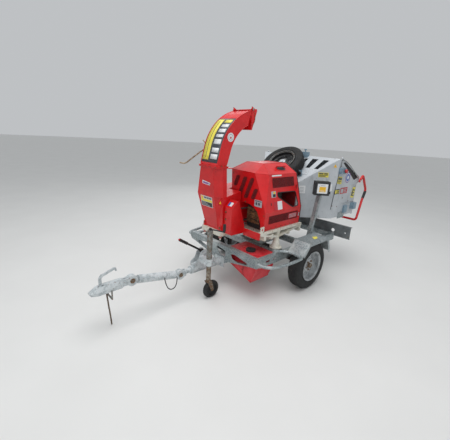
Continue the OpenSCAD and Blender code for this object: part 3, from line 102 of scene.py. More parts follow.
def finish(name, colour, layers=(), rough=0.5, metallic=0.0, coat=0.0, grain_mm=1.0, bump_mm=0.0,
           edge=None, edge_mm=2.0, rough_vary=0.1, **extra):
    """Builds one surface. Each layer is (colour, patch size in mm, share covered, softness, stretch)."""
    material = bpy.data.materials.new(name)
    material.use_nodes = True
    tree = material.node_tree
    shader = tree.nodes["Principled BSDF"]
    place = add(tree, "TexCoord").outputs["Object"]
    shade = linear(colour)
    for k, (tint, size, share, soft, *stretch) in enumerate(layers):
        where = add(
            tree, "Mapping", Vector=place, Location=(3.1 * k, 1.7 * k, 0.9 * k),
            Scale=stretch[0] if stretch else (1, 1, 1),
        ).outputs[0]
        patch = add(tree, "TexNoise", Vector=where, Scale=1000 / size, Detail=5.0, Roughness=0.62)
        low = 0.5 + (0.5 - share) * 0.42
        mask = add(tree, "MapRange", i0=patch.outputs[0], i1=low - soft / 2, i2=low + soft / 2)
        shade = add(
            tree, "Mix", {"data_type": "RGBA"}, i0=mask.outputs[0], i6=shade, i7=linear(tint),
        ).outputs[2]
    normal = None
    if edge:
        round_edge = add(tree, "Bevel", {"samples": 3}, Radius=edge_mm / 1000)
        flat = add(tree, "NewGeometry")
        aligned = add(
            tree, "VectorMath", {"operation": "DOT_PRODUCT"},
            i0=round_edge.outputs[0], i1=flat.outputs["Normal"],
        )
        chips = add(tree, "TexNoise", Vector=place, Scale=90.0, Detail=6.0, Roughness=0.7)
        bare = add(
            tree, "Math", {"operation": "MULTIPLY_ADD"},
            i0=chips.outputs[0], i1=0.24, i2=aligned.outputs["Value"],
        )
        worn = add(tree, "MapRange", i0=bare.outputs[0], i1=1.07, i2=1.0)
        shade = add(
            tree, "Mix", {"data_type": "RGBA"}, i0=worn.outputs[0], i6=shade, i7=linear(edge),
        ).outputs[2]
        normal = round_edge.outputs[0]
    if isinstance(shade, list):
        shader.inputs["Base Color"].default_value = shade
    else:
        tree.links.new(shade, shader.inputs["Base Color"])
    grain = add(tree, "TexNoise", Vector=place, Scale=1000 / (grain_mm * 2), Detail=4.0)
    if rough_vary:
        cloud = add(tree, "TexNoise", Vector=place, Scale=14.0, Detail=4.0)
        spread = add(
            tree, "MapRange", i0=cloud.outputs[0], i1=0.3, i2=0.7, i3=rough - rough_vary,
            i4=rough + rough_vary,
        )
        tree.links.new(spread.outputs[0], shader.inputs["Roughness"])
    else:
        shader.inputs["Roughness"].default_value = rough
    if bump_mm:
        relief = add(tree, "Bump", Height=grain.outputs[0], Distance=bump_mm / 1000, Strength=0.8)
        if normal:
            tree.links.new(normal, relief.inputs["Normal"])
        normal = relief.outputs[0]
    if normal:
        tree.links.new(normal, shader.inputs["Normal"])
    shader.inputs["Metallic"].default_value = metallic
    shader.inputs["Coat Weight"].default_value = coat
    for key, value in extra.items():
        shader.inputs[key.replace("_", " ")].default_value = value
    return material


GREEN_DUST, RUST, DARK_RUST, MUD = "#8d8a72", "#8a4a22", "#4a2a18", "#6d675a"

# Hot-dip zinc: a grey metal with pale and dark spangle a hand's breadth down to a fingertip wide
galvanised_steel = finish(
    "galvanised_steel", "#99a3a5",
    [
        ("#a9b2b4", 26, 0.5, 0.10), ("#767f82", 11, 0.45, 0.08), ("#b9c0c0", 150, 0.3, 0.2),
        (MUD, 60, 0.12, 0.1),
    ],
    rough=0.46, metallic=0.55, grain_mm=3, bump_mm=0.15, edge="#c3c8c8", edge_mm=2.5,
)
# The same zinc on forgings, under a worn coat of white that has gone chalky
zinc_white = finish(
    "chalky_white_paint_on_zinc", "#c9cfd1",
    [("#aab2b5", 45, 0.4, 0.12), ("#8c8f8c", 14, 0.2, 0.05), (RUST, 20, 0.07, 0.04)],
    rough=0.5, metallic=0.1, grain_mm=3, bump_mm=0.2, edge="#9aa0a0", edge_mm=3,
)
# Axle and shaft steel: nearly black with oily patches
oily_steel = finish(
    "oily_dark_steel", "#3a3b3c", [("#24211f", 60, 0.5, 0.2), (DARK_RUST, 25, 0.25, 0.1)],
    rough=0.5, metallic=0.6, grain_mm=2, bump_mm=0.2, edge="#5c5a56", edge_mm=2,
)
# Stoved red enamel, glossy on the plates, a little sun-bleached and dusty in patches
red_enamel = finish(
    "red_stoved_enamel", "#d6060c",
    [("#bd080f", 260, 0.5, 0.35), ("#d61a1e", 110, 0.3, 0.25), ("#9a0c10", 30, 0.06, 0.06)],
    rough=0.36, coat=0.2, grain_mm=5, bump_mm=0.05, edge="#d8453f", edge_mm=2.5, rough_vary=0.06,
    Coat_Roughness=0.22,
)
# Blow-moulded polyethylene of the fuel tank: softer red with a satin skin
red_polyethylene = finish(
    "red_blow_moulded_polyethylene", "#c41d28", [("#d9434a", 120, 0.4, 0.3), ("#8c1219", 50, 0.2, 0.1)],
    rough=0.42, grain_mm=2, bump_mm=0.15, edge="#e07a78", edge_mm=4,
)
# Cream chassis paint, chipped down to rust at its edges
cream_paint = finish(
    "chipped_cream_paint", "#dedbd0",
    [("#ccc6b4", 70, 0.4, 0.2), (RUST, 28, 0.11, 0.05), (DARK_RUST, 12, 0.04, 0.03)],
    rough=0.5, grain_mm=3, bump_mm=0.2, edge="#8f6340", edge_mm=3,
)
# Light grey paint of the hopper, matt, with faint run marks and patches of dirt
grey_paint = finish(
    "light_grey_paint", "#bfc4c8",
    [("#aeb4b9", 300, 0.45, 0.3), ("#9ea3a5", 60, 0.16, 0.12, (1, 1, 0.3)), (MUD, 35, 0.05, 0.05)],
    rough=0.45, coat=0.1, grain_mm=4, bump_mm=0.08, edge="#e3e5e6", edge_mm=2.5,
)
tyre_rubber = finish(
    "tyre_rubber", "#1d1e1f", [("#2b2b2a", 70, 0.45, 0.25), ("#45423c", 30, 0.12, 0.1)],
    rough=0.78, grain_mm=1.5, bump_mm=0.25, rough_vary=0.08,
)
# Silver wheel enamel with specks of brake dust
silver_enamel = finish(
    "silver_wheel_enamel", "#b4b8ba", [("#8f9294", 60, 0.4, 0.2), ("#6b5a4c", 18, 0.12, 0.06)],
    rough=0.36, metallic=0.45, grain_mm=2, bump_mm=0.08, edge="#d5d8d9", edge_mm=2,
)
black_enamel = finish(
    "black_wheel_enamel", "#191a1c", [("#2c2d2f", 80, 0.4, 0.2), ("#55483c", 18, 0.08, 0.05)],
    rough=0.38, grain_mm=2, bump_mm=0.08, edge="#3d3e40", edge_mm=2,
)
# Bare steel left out in the rain
rusty_steel = finish(
    "rusty_steel", "#6e655a", [
        ("#7a5c40", 26, 0.45, 0.15), (DARK_RUST, 12, 0.25, 0.1), ("#9a9386", 30, 0.3, 0.1),
    ],
    rough=0.75, metallic=0.25, grain_mm=1.5, bump_mm=0.35, edge="#9b8a78", edge_mm=1.5,
)
# Zinc tube that has started to rust through
tired_zinc = finish(
    "rusting_zinc", "#8c8f8c", [("#6e6a62", 30, 0.5, 0.15), (RUST, 18, 0.22, 0.08)],
    rough=0.55, metallic=0.4, grain_mm=2, bump_mm=0.2, edge="#a8a9a6", edge_mm=2,
)
tan_bar = finish(
    "weathered_bar", "#9a8266", [("#7a5b3c", 26, 0.45, 0.15), ("#b8a58a", 40, 0.3, 0.15)],
    rough=0.6, metallic=0.2, grain_mm=2, bump_mm=0.15, edge="#c0b29c", edge_mm=1.5,
)
black_plastic = finish(
    "black_moulded_plastic", "#1c1d1f", [("#2d2e30", 60, 0.4, 0.2), ("#3c3b38", 20, 0.12, 0.1)],
    rough=0.5, grain_mm=0.8, bump_mm=0.12, edge="#3a3b3d", edge_mm=1.5,
)
red_plastic = finish(
    "red_moulded_plastic", "#c8202a", [("#a8161f", 40, 0.4, 0.2)],
    rough=0.38, coat=0.2, grain_mm=1, bump_mm=0.05, edge="#dd5a58", edge_mm=1.5,
)
# Cast aluminium and black sheet of the engine, oily and dusted with chips
engine_casting = finish(
    "oily_aluminium_casting", "#55544f", [
        ("#33312e", 40, 0.5, 0.15), ("#7b766c", 18, 0.25, 0.1), (DARK_RUST, 30, 0.18, 0.1),
    ],
    rough=0.55, metallic=0.5, grain_mm=2, bump_mm=0.4, edge="#8b887f", edge_mm=2,
)
burnt_plate = finish(
    "burnt_brown_plate", "#5b3c28", [
        ("#7c5433", 34, 0.45, 0.15), ("#2e211a", 20, 0.35, 0.1), ("#9a7a52", 12, 0.12, 0.06),
    ],
    rough=0.7, metallic=0.35, grain_mm=2, bump_mm=0.4, edge="#a5845c", edge_mm=1.5,
)
switch_plastic = finish(
    "blue_grey_switch_plastic", "#7f97a6", [("#6d8494", 50, 0.4, 0.2)],
    rough=0.42, grain_mm=1, bump_mm=0.06, edge="#a7b9c4", edge_mm=1.5,
)
# Galvanised steel board behind the rear lamps, toned down to a mid grey as painted shade for the shadow
# across its left part; darker patches and dirt at random
lamp_board_painted_shade = finish(
    "lamp_board_painted_shade", "#777c7e", [("#5c6062", 120, 0.4, 0.3), (MUD, 40, 0.15, 0.1)],
    rough=0.5, grain_mm=2, bump_mm=0.1, edge="#8a8e90", edge_mm=1.5,
)
belt_rubber = finish(
    "driving_belt_rubber", "#232323", [("#373533", 20, 0.3, 0.2)], rough=0.7, grain_mm=1, bump_mm=0.15,
)
cable_sheath = finish(
    "black_cable_sheath", "#161718", [("#2a2a29", 15, 0.3, 0.2)], rough=0.5, grain_mm=0.6, bump_mm=0.06,
)
strand_rust = finish(
    "rusty_wire_rope", "#6f6457", [(DARK_RUST, 9, 0.45, 0.1), ("#a09686", 7, 0.25, 0.08)],
    rough=0.7, metallic=0.4, grain_mm=1, bump_mm=0.5,
)
bright_zinc = finish(
    "bright_zinc_bolt", "#a7a9a6", [("#7d7c74", 9, 0.4, 0.15), (RUST, 12, 0.15, 0.08)],
    rough=0.35, metallic=0.85, grain_mm=1, bump_mm=0.05,
)
dull_bolt = finish(
    "rusty_bolt", "#6a5444", [(RUST, 8, 0.5, 0.15), ("#8f867b", 6, 0.25, 0.1)], rough=0.6, metallic=0.5,
    grain_mm=1, bump_mm=0.2,
)


def printed(name, colour, other=None):
    """Self-adhesive vinyl: a flat printed colour, a little scuffed."""
    return finish(
        name, colour, [(other or "#8a8a86", 14, 0.10, 0.08)], rough=0.38, coat=0.15, grain_mm=2,
        bump_mm=0.03, rough_vary=0.05,
    )


white_vinyl = printed("white_vinyl", "#dfe1e2")
yellow_vinyl = printed("yellow_vinyl", "#e3d54a")
amber_vinyl = printed("amber_vinyl", "#e8b62a")
charcoal_vinyl = printed("charcoal_vinyl", "#3b4046", "#565b60")
black_vinyl = printed("black_vinyl", "#1a1a1b", "#3a3a3a")
blue_vinyl = printed("blue_vinyl", "#3d63a8")
red_vinyl = printed("red_vinyl", "#b8202c")
purple_vinyl = printed("purple_vinyl", "#8b5a9b")
grey_vinyl = printed("grey_vinyl", "#a9adb2")

# ---------------------------------------------------------------- making pieces


def piece(name, bm, material, body, smooth=35, bevel_mm=0.0, closed=True):
    """Turns a bmesh into a piece that moves with a body."""
    if closed:
        bmesh.ops.recalc_face_normals(bm, faces=bm.faces)
    mesh = bpy.data.meshes.new(name)
    bm.to_mesh(mesh)
    bm.free()
    mesh.materials.append(material)
    for face in mesh.polygons:
        face.use_smooth = True
    mesh.set_sharp_from_angle(angle=math.radians(smooth))
    made = bpy.data.objects.new(name, mesh)
    scene.collection.objects.link(made)
    if bevel_mm:
        edge = made.modifiers.new("edge", "BEVEL")
        edge.width = bevel_mm / 1000
        edge.segments = 2
        edge.limit_method = "ANGLE"
    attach(made, body)
    return made


def slab(bm, outline, rise):
    """Adds a solid: a flat outline of points, carried along the vector rise."""
    low = [bm.verts.new(p) for p in outline]
    high = [bm.verts.new(Vector(p) + rise) for p in outline]
    n = len(low)
    bm.faces.new(low[::-1])
    bm.faces.new(high)
    for i in range(n):
        bm.faces.new((low[i], low[(i + 1) % n], high[(i + 1) % n], high[i]))


def box(bm, a, b):
    """Adds a box between two opposite corners, in mm."""
    x0, x1 = sorted((a[0], b[0]))
    y0, y1 = sorted((a[1], b[1]))
    z0, z1 = sorted((a[2], b[2]))
    slab(
        bm, [at(x0, y0, z0), at(x1, y0, z0), at(x1, y1, z0), at(x0, y1, z0)],
        Vector((0, 0, (z1 - z0) / 1000)),
    )


def rounded(corners, radius, steps=4):
    """Rounds the corners of a flat outline; the radius is in metres."""
    made = []
    n = len(corners)
    for i, c in enumerate(corners):
        before, after = corners[i - 1] - c, corners[(i + 1) % n] - c
        reach = min(radius, before.length * 0.45, after.length * 0.45)
        a, b = c + before.normalized() * reach, c + after.normalized() * reach
        for k in range(steps + 1):
            t = k / steps
            made.append((1 - t) ** 2 * a + 2 * t * (1 - t) * c + t * t * b)
    return made


def turned(bm, profile, centre, axis, steps=32, phase=0.0, loop=False):
    """Adds a turned shape: profile is (radius, height) pairs in mm along the axis; loop makes it a ring."""
    axis = Vector(axis).normalized()
    side = axis.orthogonal().normalized()
    other = axis.cross(side)
    rings = []
    for radius, height in profile:
        middle = centre + axis * height / 1000
        if radius < 0.01:
            rings.append([bm.verts.new(middle)])
            continue
        ring = []
        for k in range(steps):
            a = 2 * math.pi * (k + phase) / steps
            ring.append(bm.verts.new(middle + (math.cos(a) * side + math.sin(a) * other) * radius / 1000))
        rings.append(ring)
    for low, high in zip(rings, rings[1:]):
        for k in range(steps):
            j = (k + 1) % steps
            if len(low) == 1:
                bm.faces.new((low[0], high[j], high[k]))
            elif len(high) == 1:
                bm.faces.new((low[k], low[j], high[0]))
            else:
                bm.faces.new((low[k], low[j], high[j], high[k]))
    if loop:
        for k in range(steps):
            j = (k + 1) % steps
            bm.faces.new((rings[-1][k], rings[-1][j], rings[0][j], rings[0][k]))
        return
    for ring in (rings[0], rings[-1]):
        if len(ring) > 2:
            bm.faces.new(ring)


def bolt(bm, centre, axis, size=6, washer=True):
    """Adds a hexagon head on a washer, standing on its seat; size is half the width over its corners."""
    if washer:
        turned(bm, [(size * 1.35, -0.6), (size * 1.35, 1.0), (size * 1.1, 1.3)], centre, axis, 20)
    turned(bm, [(size, -0.6), (size, size * 0.62), (size * 0.86, size * 0.78)], centre, axis, 6)
    turned(bm, [(size * 0.45, 0), (size * 0.45, size * 0.95), (size * 0.3, size * 1.1)], centre, axis, 12)


def bolts(name, places, body, size=6, material=None, washer=True):
    bm = bmesh.new()
    for centre, axis in places:
        bolt(bm, centre, axis, size, washer)
    return piece(name, bm, material or bright_zinc, body)


def tube(name, points, radius_mm, material, body, smooth=True, cyclic=False):
    """A round bar, pipe or cable along a route of points in metres."""
    curve = bpy.data.curves.new(name, "CURVE")
    curve.dimensions = "3D"
    curve.bevel_depth = radius_mm / 1000
    curve.bevel_resolution = 4
    curve.use_fill_caps = True
    spline = curve.splines.new("POLY" if not smooth else "BEZIER")
    if smooth:
        spline.bezier_points.add(len(points) - 1)
        for knot, p in zip(spline.bezier_points, points):
            knot.co = p
            knot.handle_left_type = knot.handle_right_type = "AUTO"
    else:
        spline.points.add(len(points) - 1)
        for knot, p in zip(spline.points, points):
            knot.co = (*p, 1)
    spline.use_cyclic_u = cyclic
    spline.resolution_u = 6
    curve.materials.append(material)
    made = bpy.data.objects.new(name, curve)
    scene.collection.objects.link(made)
    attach(made, body)
    return made


def sticker(name, corners, material, body, lift=0.6, radius=4, thick=0.5):
    """A thin label: corners in mm go round a flat patch, lifted off the surface along their normal."""
    ring = [at(*c) for c in corners]
    normal = (ring[1] - ring[0]).cross(ring[2] - ring[1]).normalized()
    ring = [p + normal * lift / 1000 for p in rounded(ring, radius / 1000)]
    bm = bmesh.new()
    slab(bm, ring, normal * thick / 1000)
    return piece(name, bm, material, body)


# ---------------------------------------------------------------- cords

# Wire rope that pulls the brake on if the coupling lets go; it hangs from the coupling's underside
breakaway_route = [
    (0, -2140, 361.5), (0, -2139, 340), (0, -2137, 300), (0, -2133, 250), (0, -2129, 200),
    (0, -2124, 150), (0, -2120, 100), (0, -2117, 60), (0, -2115, 24), (0, -2114, 8),
]
breakaway = tube(
    "breakaway_rope", [at(*p) for p in breakaway_route], 7, strand_rust, "coupling_head", smooth=False,
)
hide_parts("breakaway_cable")

# Lighting cable: a short loop under the drawbar's rear joint
lighting_route = [
    (50, -1580, 338), (50, -1580, 312), (54, -1574, 280), (58, -1563, 240), (60, -1545, 208),
    (62, -1522, 191), (62, -1500, 187), (62, -1478, 193), (60, -1458, 212), (57, -1444, 245),
    (50, -1436, 274), (50, -1436, 300),
]
lighting = tube("lighting_lead", [at(*p) for p in lighting_route], 5, cable_sheath, "drawbar")
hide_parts("lighting_cable")

# ---------------------------------------------------------------- finishes of the machine's own parts

FINISHES = {
    galvanised_steel: [
        "front_beam", "chassis_rails", "mudguard_left", "mudguard_right", "guard_tubes", "box_post",
        "slew_lock",
    ],
    zinc_white: [
        "overrun_housing", "draw_shaft", "brake_bracket", "drawbar_tube", "coupling_head",
        "coupling_handle", "jockey_clamp",
    ],
    tired_zinc: ["cable_shackle", "jockey_tube"],
    lamp_board_painted_shade: ["light_board"],
    oily_steel: ["axle_beam", "rotor", "engine_pulley", "brake_lever", "feed_roller"],
    rusty_steel: ["hub_left", "hub_right", "jockey_inner", "jockey_fork", "drawbar_bolts"],
    red_polyethylene: ["fuel_tank"],
    black_plastic: ["tank_cap", "document_box", "box_lid", "jockey_crank"],
    cream_paint: ["slew_base", "slew_top", "base_frame"],
    tyre_rubber: ["tyre_left", "tyre_right", "spare_tyre", "jockey_wheel"],
    silver_enamel: ["rim_left", "rim_right"],
    black_enamel: ["spare_rim"],
    red_enamel: ["rotor_housing", "belt_cover", "hood", "chute", "chute_flap", "feed_housing", "control_bar"],
    tan_bar: ["chute_handle"],
    belt_rubber: ["drive_belt"],
    engine_casting: ["engine"],
    burnt_plate: ["heat_shield"],
    grey_paint: ["hopper", "feed_table"],
    switch_plastic: ["switch_boxes"],
    red_plastic: ["stop_button", "lever_button"],
}
for surface, names in FINISHES.items():
    for name in names:
        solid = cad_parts[name]
        if not solid.material_slots:
            solid.data.materials.append(surface)
        for slot in solid.material_slots:
            slot.material = surface

# ---------------------------------------------------------------- the chipping unit's details

# Dark red of the punched screens; on the sheet behind the screens and on the inner wall it is painted shade
# for the dim inside of the hood
screen_red = finish(
    "dark_red_punched_screen", "#7d1216", [("#5c0d10", 30, 0.4, 0.2)], rough=0.5, grain_mm=2, bump_mm=0.1,
)
# Near-black for sheets set where the engine bay lies in shade: painted shade, not the colour of any part
painted_bay_shade = finish(
    "shaded_engine_bay", "#151313", [("#241d1b", 60, 0.4, 0.2)], rough=0.7, grain_mm=3, bump_mm=0.2,
)


def screen(name, origin, along, up, columns, rows, keep=lambda c, r: True):
    """A punched screen: a lattice of square holes between its bars, on a dark red sheet behind it that is
    painted shade for the dim bay seen through the holes.
    """
    origin, along, up = at(*origin), Vector(along) / 1000, Vector(up) / 1000
    bm = bmesh.new()
    corners = {}
    for c in range(columns + 1):
        for r in range(rows + 1):
            corners[c, r] = bm.verts.new(origin + along * c / columns + up * r / rows)
    for c in range(columns):
        for r in range(rows):
            if keep((c + 0.5) / columns, (r + 0.5) / rows):
                bm.faces.new((corners[c, r], corners[c + 1, r], corners[c + 1, r + 1], corners[c, r + 1]))
    bmesh.ops.delete(bm, geom=[v for v in bm.verts if not v.link_faces], context="VERTS")
    # The sheet just behind the holes is painted shade: dark red standing in for the dim bay behind the screen
    painted_shade_sheet = bm.copy()
    made = piece(name, bm, screen_red, "hood", closed=False)
    bars = made.modifiers.new("bars", "WIREFRAME")
    bars.thickness = 0.004
    inward = up.cross(along).normalized() * 0.0025
    bmesh.ops.translate(painted_shade_sheet, verts=painted_shade_sheet.verts, vec=inward)
    sheet = piece(name + "_backing", painted_shade_sheet, screen_red, "hood", closed=False)
    thick = sheet.modifiers.new("sheet", "SOLIDIFY")
    thick.thickness = 0.001
    return made


def pill(c, r, tall):
    """Keeps the cells inside a slot with round ends; tall is its length over its width."""
    y = max(abs(r - 0.5) * tall - (tall - 1) / 2, 0)
    return (c - 0.5) ** 2 + y ** 2 <= 0.27


for k, (x, top, low) in enumerate([(2, 1308, 1185), (116, 1304, 1072), (223, 1305, 1068), (288, 1194, 1073)]):
    lean = -(top - low) * 0.37
    screen(
        f"front_screen_{k}", (x - 27 + lean, -577.5, low), (54, 0, 0), (-lean, 0, top - low), 6,
        round((top - low) / 9), lambda c, r, t=(top - low) / 54: pill(c, r, t),
    )

# The near side leans in above the hood's belt line
LEAN = 94 / 400


def on_side(y, z, lift=0.0):
    """A point on the hood's near side, in mm."""
    return (444 - max(z - 950, 0) * LEAN + lift - max(950 - z, 0) * 3 / 205, y, z)


screen("upper_screen", on_side(-412, 1207, 2.6), (0, 400, 0), (-105 * LEAN, 0, 105), 44, 12)
screen("lower_screen", on_side(-505, 818, 2.6), (1.4, 540, 0), (1.2, 0, 88), 60, 10)


def side_label(name, y0, y1, z0, z1, material, radius=5, lift=0.9):
    return sticker(
        name, [on_side(y0, z0), on_side(y1, z0), on_side(y1, z1), on_side(y0, z1)], material, "hood",
        lift, radius,
    )


side_label("hood_white_strip", -412, -240, 1328, 1343, white_vinyl, 2)
side_label("hood_notice", -450, -370, 1105, 1172, grey_vinyl)
side_label("hood_notice_mark", -425, -378, 1110, 1140, black_vinyl, 3, 1.5)
side_label("hood_notice_corner", -412, -380, 1142, 1166, amber_vinyl, 3, 1.5)
side_label("hood_data_plate", -355, -272, 962, 1056, white_vinyl)
side_label("hood_data_band", -415, -358, 962, 1056, red_vinyl)
side_label("hood_keyhole", -470, -458, 1020, 1052, black_vinyl, 5)
sticker(
    "screen_plate",
    [on_side(-150, 832, 5), on_side(15, 832, 5), on_side(15, 893, 5), on_side(-150, 893, 5)], red_vinyl,
    "hood", 1.2, 3,
)
for k, z in enumerate((846, 862, 878)):
    sticker(
        f"screen_plate_line_{k}",
        [on_side(-138, z - 3, 5), on_side(4, z - 3, 5), on_side(4, z + 3, 5), on_side(-138, z + 3, 5)],
        grey_vinyl, "hood", 2, 1,
    )

sticker(
    "front_data_plate", [(276, -575, 1001), (386, -575, 1001), (382, -575, 1077), (274, -575, 1077)],
    grey_vinyl, "hood", 0.8, 6,
)
for k, (x, w) in enumerate([(296, 22), (332, 26)]):
    sticker(
        f"front_plate_mark_{k}",
        [(x, -575, 1020), (x + w, -575, 1020), (x + w - 4, -575, 1050), (x - 2, -575, 1050)],
        charcoal_vinyl, "hood", 1.4, 8,
    )
sticker(
    "front_plate_line", [(284, -575, 1060), (376, -575, 1060), (376, -575, 1068), (284, -575, 1068)],
    charcoal_vinyl, "hood", 1.4, 2,
)


def window():
    """Rubber profile round the side window."""
    outline = [(-340, 1152), (-12, 1142), (6, 1128), (37, 990), (24, 968), (-80, 966), (-334, 1107)]
    route = [at(*on_side(y, z, 1.5)) for y, z in outline]
    tube("window_rubber", rounded(route, 0.03, 5), 5, cable_sheath, "hood", smooth=False, cyclic=True)


window()


def hood_trim():
    # Black oval of the lifting eye on the sloping roof
    centre = at(264, -155, 1399)
    slope = (at(350, 0, 1350) - at(175, 0, 1450)).normalized()
    normal = Vector((slope.z * -1, 0, slope.x)).normalized()
    normal = normal if normal.z > 0 else -normal
    bm = bmesh.new()
    oval = [
        centre + slope * 0.045 * math.sin(a) + Vector((0, 0.088 * math.cos(a), 0)) + normal * 0.001
        for a in (2 * math.pi * k / 40 for k in range(40))
    ]
    slab(bm, oval, normal * 0.0015)
    piece("lifting_recess", bm, black_plastic, "hood")
    rim_route = [p + normal * 0.0015 for p in oval]
    tube("lifting_recess_rim", rim_route, 4, red_enamel, "hood", smooth=False, cyclic=True)
    # Folded seams between the hood's sheets, and rivets along the skirt
    seams = [
        [(441, -575, 750), (444, -575, 950), (248, -575, 1362)],
        [(248, -575, 1362), (350, -450, 1350), (350, 58, 1350)],
        [(248, -575, 1362), (-113, -575, 1372), (-81, -370, 1450), (175, -360, 1450), (350, -450, 1350)],
        [(175, -360, 1450), (175, 58, 1450)], [(-81, -370, 1450), (-81, 58, 1450)],
        [(444, -575, 950), (444, 98, 950)],
    ]
    for k, seam in enumerate(seams):
        tube(f"hood_seam_{k}", [at(*p) for p in seam], 2.2, red_enamel, "hood", smooth=False)
    skirt = [(at(443, y, 764), (1, 0, 0)) for y in range(-545, 91, 90)]
    bolts("skirt_rivets", skirt, "hood", 5, material=dull_bolt)
    front = ((420, 780), (425, 920), (135, 1024), (-60, 1060), (-85, 1330))
    bolts("front_rivets", [(at(x, -575, z), (0, -1, 0)) for x, z in front], "hood", 6, material=dull_bolt)
    # Rubber strip along the rear edge
    rear_edge = [
        (441, 98, 750), (444, 98, 950), (350, 60, 1350), (175, 60, 1450), (-81, 60, 1450),
        (-114, 60, 1372), (-76, 98, 1020),
    ]
    tube("rear_edge_rubber", [at(*p) for p in rear_edge], 5, cable_sheath, "hood", smooth=False)


hood_trim()

# ---- chute

BEND_R, BEND_Y, BEND_Z = 546, -380.6, 1476.3


def on_chute(angle, x, lift=0.0):
    """A point on the chute's outer face: an angle on its bend, or a height in mm below it."""
    if angle > 75.5:
        run = (angle - 1432) / 181
        return at(x, -956 + 46.8 * run - lift, angle + lift * 0.25)
    a = math.radians(angle)
    return at(x, BEND_Y - (BEND_R + lift) * math.sin(a), BEND_Z + (BEND_R + lift) * math.cos(a))


def chute_strip(name, x0, x1, stations, material, lift):
    """A label that follows the chute's outer face through a list of stations."""
    bm = bmesh.new()
    rows = [[bm.verts.new(on_chute(s, x, lift)) for x in (x0, x1)] for s in stations]
    for low, high in zip(rows, rows[1:]):
        bm.faces.new((low[0], low[1], high[1], high[0]))
    made = piece(name, bm, material, "chute", closed=False)
    thick = made.modifiers.new("vinyl", "SOLIDIFY")
    thick.thickness = 0.0006
    return made


def steps(a, b, n=12):
    return [a + (b - a) * k / n for k in range(n + 1)]


chute_strip("chute_panel", -219, 46, [1452, 1530, 1610] + steps(75, 37), charcoal_vinyl, 1.0)
chute_strip("chute_column", -212, -112, [1478, 1530, 1610] + steps(75, 39), yellow_vinyl, 1.8)
chute_strip("chute_block", -84, 22, steps(44.5, 39.5, 4), yellow_vinyl, 1.8)
# Plain bars in place of any writing
for k, (low, high) in enumerate([(72, 66.5), (64, 60.5), (58, 53.5), (51, 47)]):
    chute_strip(f"chute_bar_{k}", -84, 24, steps(low, high, 4), white_vinyl, 1.8)
chute_strip("chute_bar_low", -84, 24, [1490, 1540], white_vinyl, 1.8)
chute_strip("chute_bar_mid", -84, 24, [1560, 1606], white_vinyl, 1.8)
chute_strip("chute_hairline", -166, -158, [1500, 1540, 1610] + steps(75, 42), charcoal_vinyl, 2.4)


def disc_label(name, centre, axis, radius, material, body, lift=0.8):
    bm = bmesh.new()
    turned(bm, [(radius, lift), (radius, lift + 0.5)], centre, axis, 40)
    return piece(name, bm, material, body)


disc_label("chute_disc", at(56, -786, 1721), (1, 0, 0), 46, white_vinyl, "chute")
disc_label("chute_disc_ring", at(56, -786, 1721), (1, 0, 0), 34, grey_vinyl, "chute", 1.4)
disc_label("chute_disc_middle", at(56, -786, 1721), (1, 0, 0), 27, white_vinyl, "chute", 2.0)
disc_label("chute_disc_dot", at(56, -786, 1716), (1, 0, 0), 11, red_vinyl, "chute", 2.6)

for side, x in (("left", 56), ("right", -226)):
    outer = [at(x, -956, 1434)] + [on_chute(a, x) for a in steps(75.5, 13.2, 14)]
    tube(f"chute_weld_{side}", outer, 3.2, red_enamel, "chute", smooth=False)
    inner = [at(x, -820, 1434)] + [
        at(x, BEND_Y - 410 * math.sin(math.radians(a)), BEND_Z + 410 * math.cos(math.radians(a)))
        for a in steps(75.5, 22.2, 14)
    ]
    tube(f"chute_lip_{side}", inner, 3.2, red_enamel, "chute", smooth=False)
front_nuts = [(at(x, -963, 1411.5), (0, 0, -1)) for x in (-205, -125, -45, 45)]
side_nuts = [(at(x, y, 1422), (0, 0, 1)) for x, y in ((-232, -900), (-232, -840), (66, -840), (66, -900))]
bolts("chute_flange_nuts", front_nuts + side_nuts, "chute", 8, material=dull_bolt)
bolts(
    "flap_pivot_nuts", [(at(-239, -483, 2022), (-1, 0, 0)), (at(69, -483, 2022), (1, 0, 0))],
    "chute_flap", 9,
)
tube("flap_stay", [at(60, -455, 1998), at(63, -440, 1920), at(61, -470, 1850)], 3.5, dull_bolt, "chute_flap")

# ---- rotor housing and belt cover

sticker(
    "duct_badge", [(-199, -941, 1211), (-68, -940, 1203), (-60, -942, 1232), (-198, -943, 1249)],
    white_vinyl, "turntable", 1.5, 4,
)
sticker(
    "duct_badge_mark", [(-188, -941, 1216), (-92, -940, 1209), (-88, -942, 1229), (-187, -943, 1238)],
    purple_vinyl, "turntable", 2.2, 8,
)
sticker(
    "duct_badge_end", [(-88, -940, 1207), (-66, -940, 1205), (-62, -941, 1226), (-86, -942, 1229)],
    grey_vinyl, "turntable", 2.3, 5,
)


def on_duct(x, z, lift=0.0):
    """A point on the rotor housing's lower front, in mm."""
    return (x, -866 - (z - 700) * 69 / 390 - lift, z)


def duct_label(name, x0, x1, z0, z1, material, lift=0.0, radius=4):
    sticker(
        name, [on_duct(x0, z0), on_duct(x1, z0), on_duct(x1, z1), on_duct(x0, z1)], material,
        "turntable", 1 + lift, radius,
    )


duct_label("warning_frame", -240, -36, 950, 1072, white_vinyl)
duct_label("warning_lower", -234, -42, 955, 1004, black_vinyl, 0.7)
duct_label("warning_middle", -234, -42, 1008, 1036, yellow_vinyl, 0.7)
duct_label("warning_upper_left", -234, -190, 1038, 1067, amber_vinyl, 0.7)
duct_label("warning_upper", -184, -42, 1040, 1067, grey_vinyl, 0.7)
for k, z in enumerate((966, 980, 993)):
    duct_label(f"warning_line_{k}", -224, -90 - 30 * k, z, z + 5, grey_vinyl, 1.4, 1)
for k, (x, w) in enumerate([(-176, 40), (-126, 30), (-86, 34)]):
    duct_label(f"warning_block_{k}", x, x + w, 1046, 1060, charcoal_vinyl, 1.4, 3)

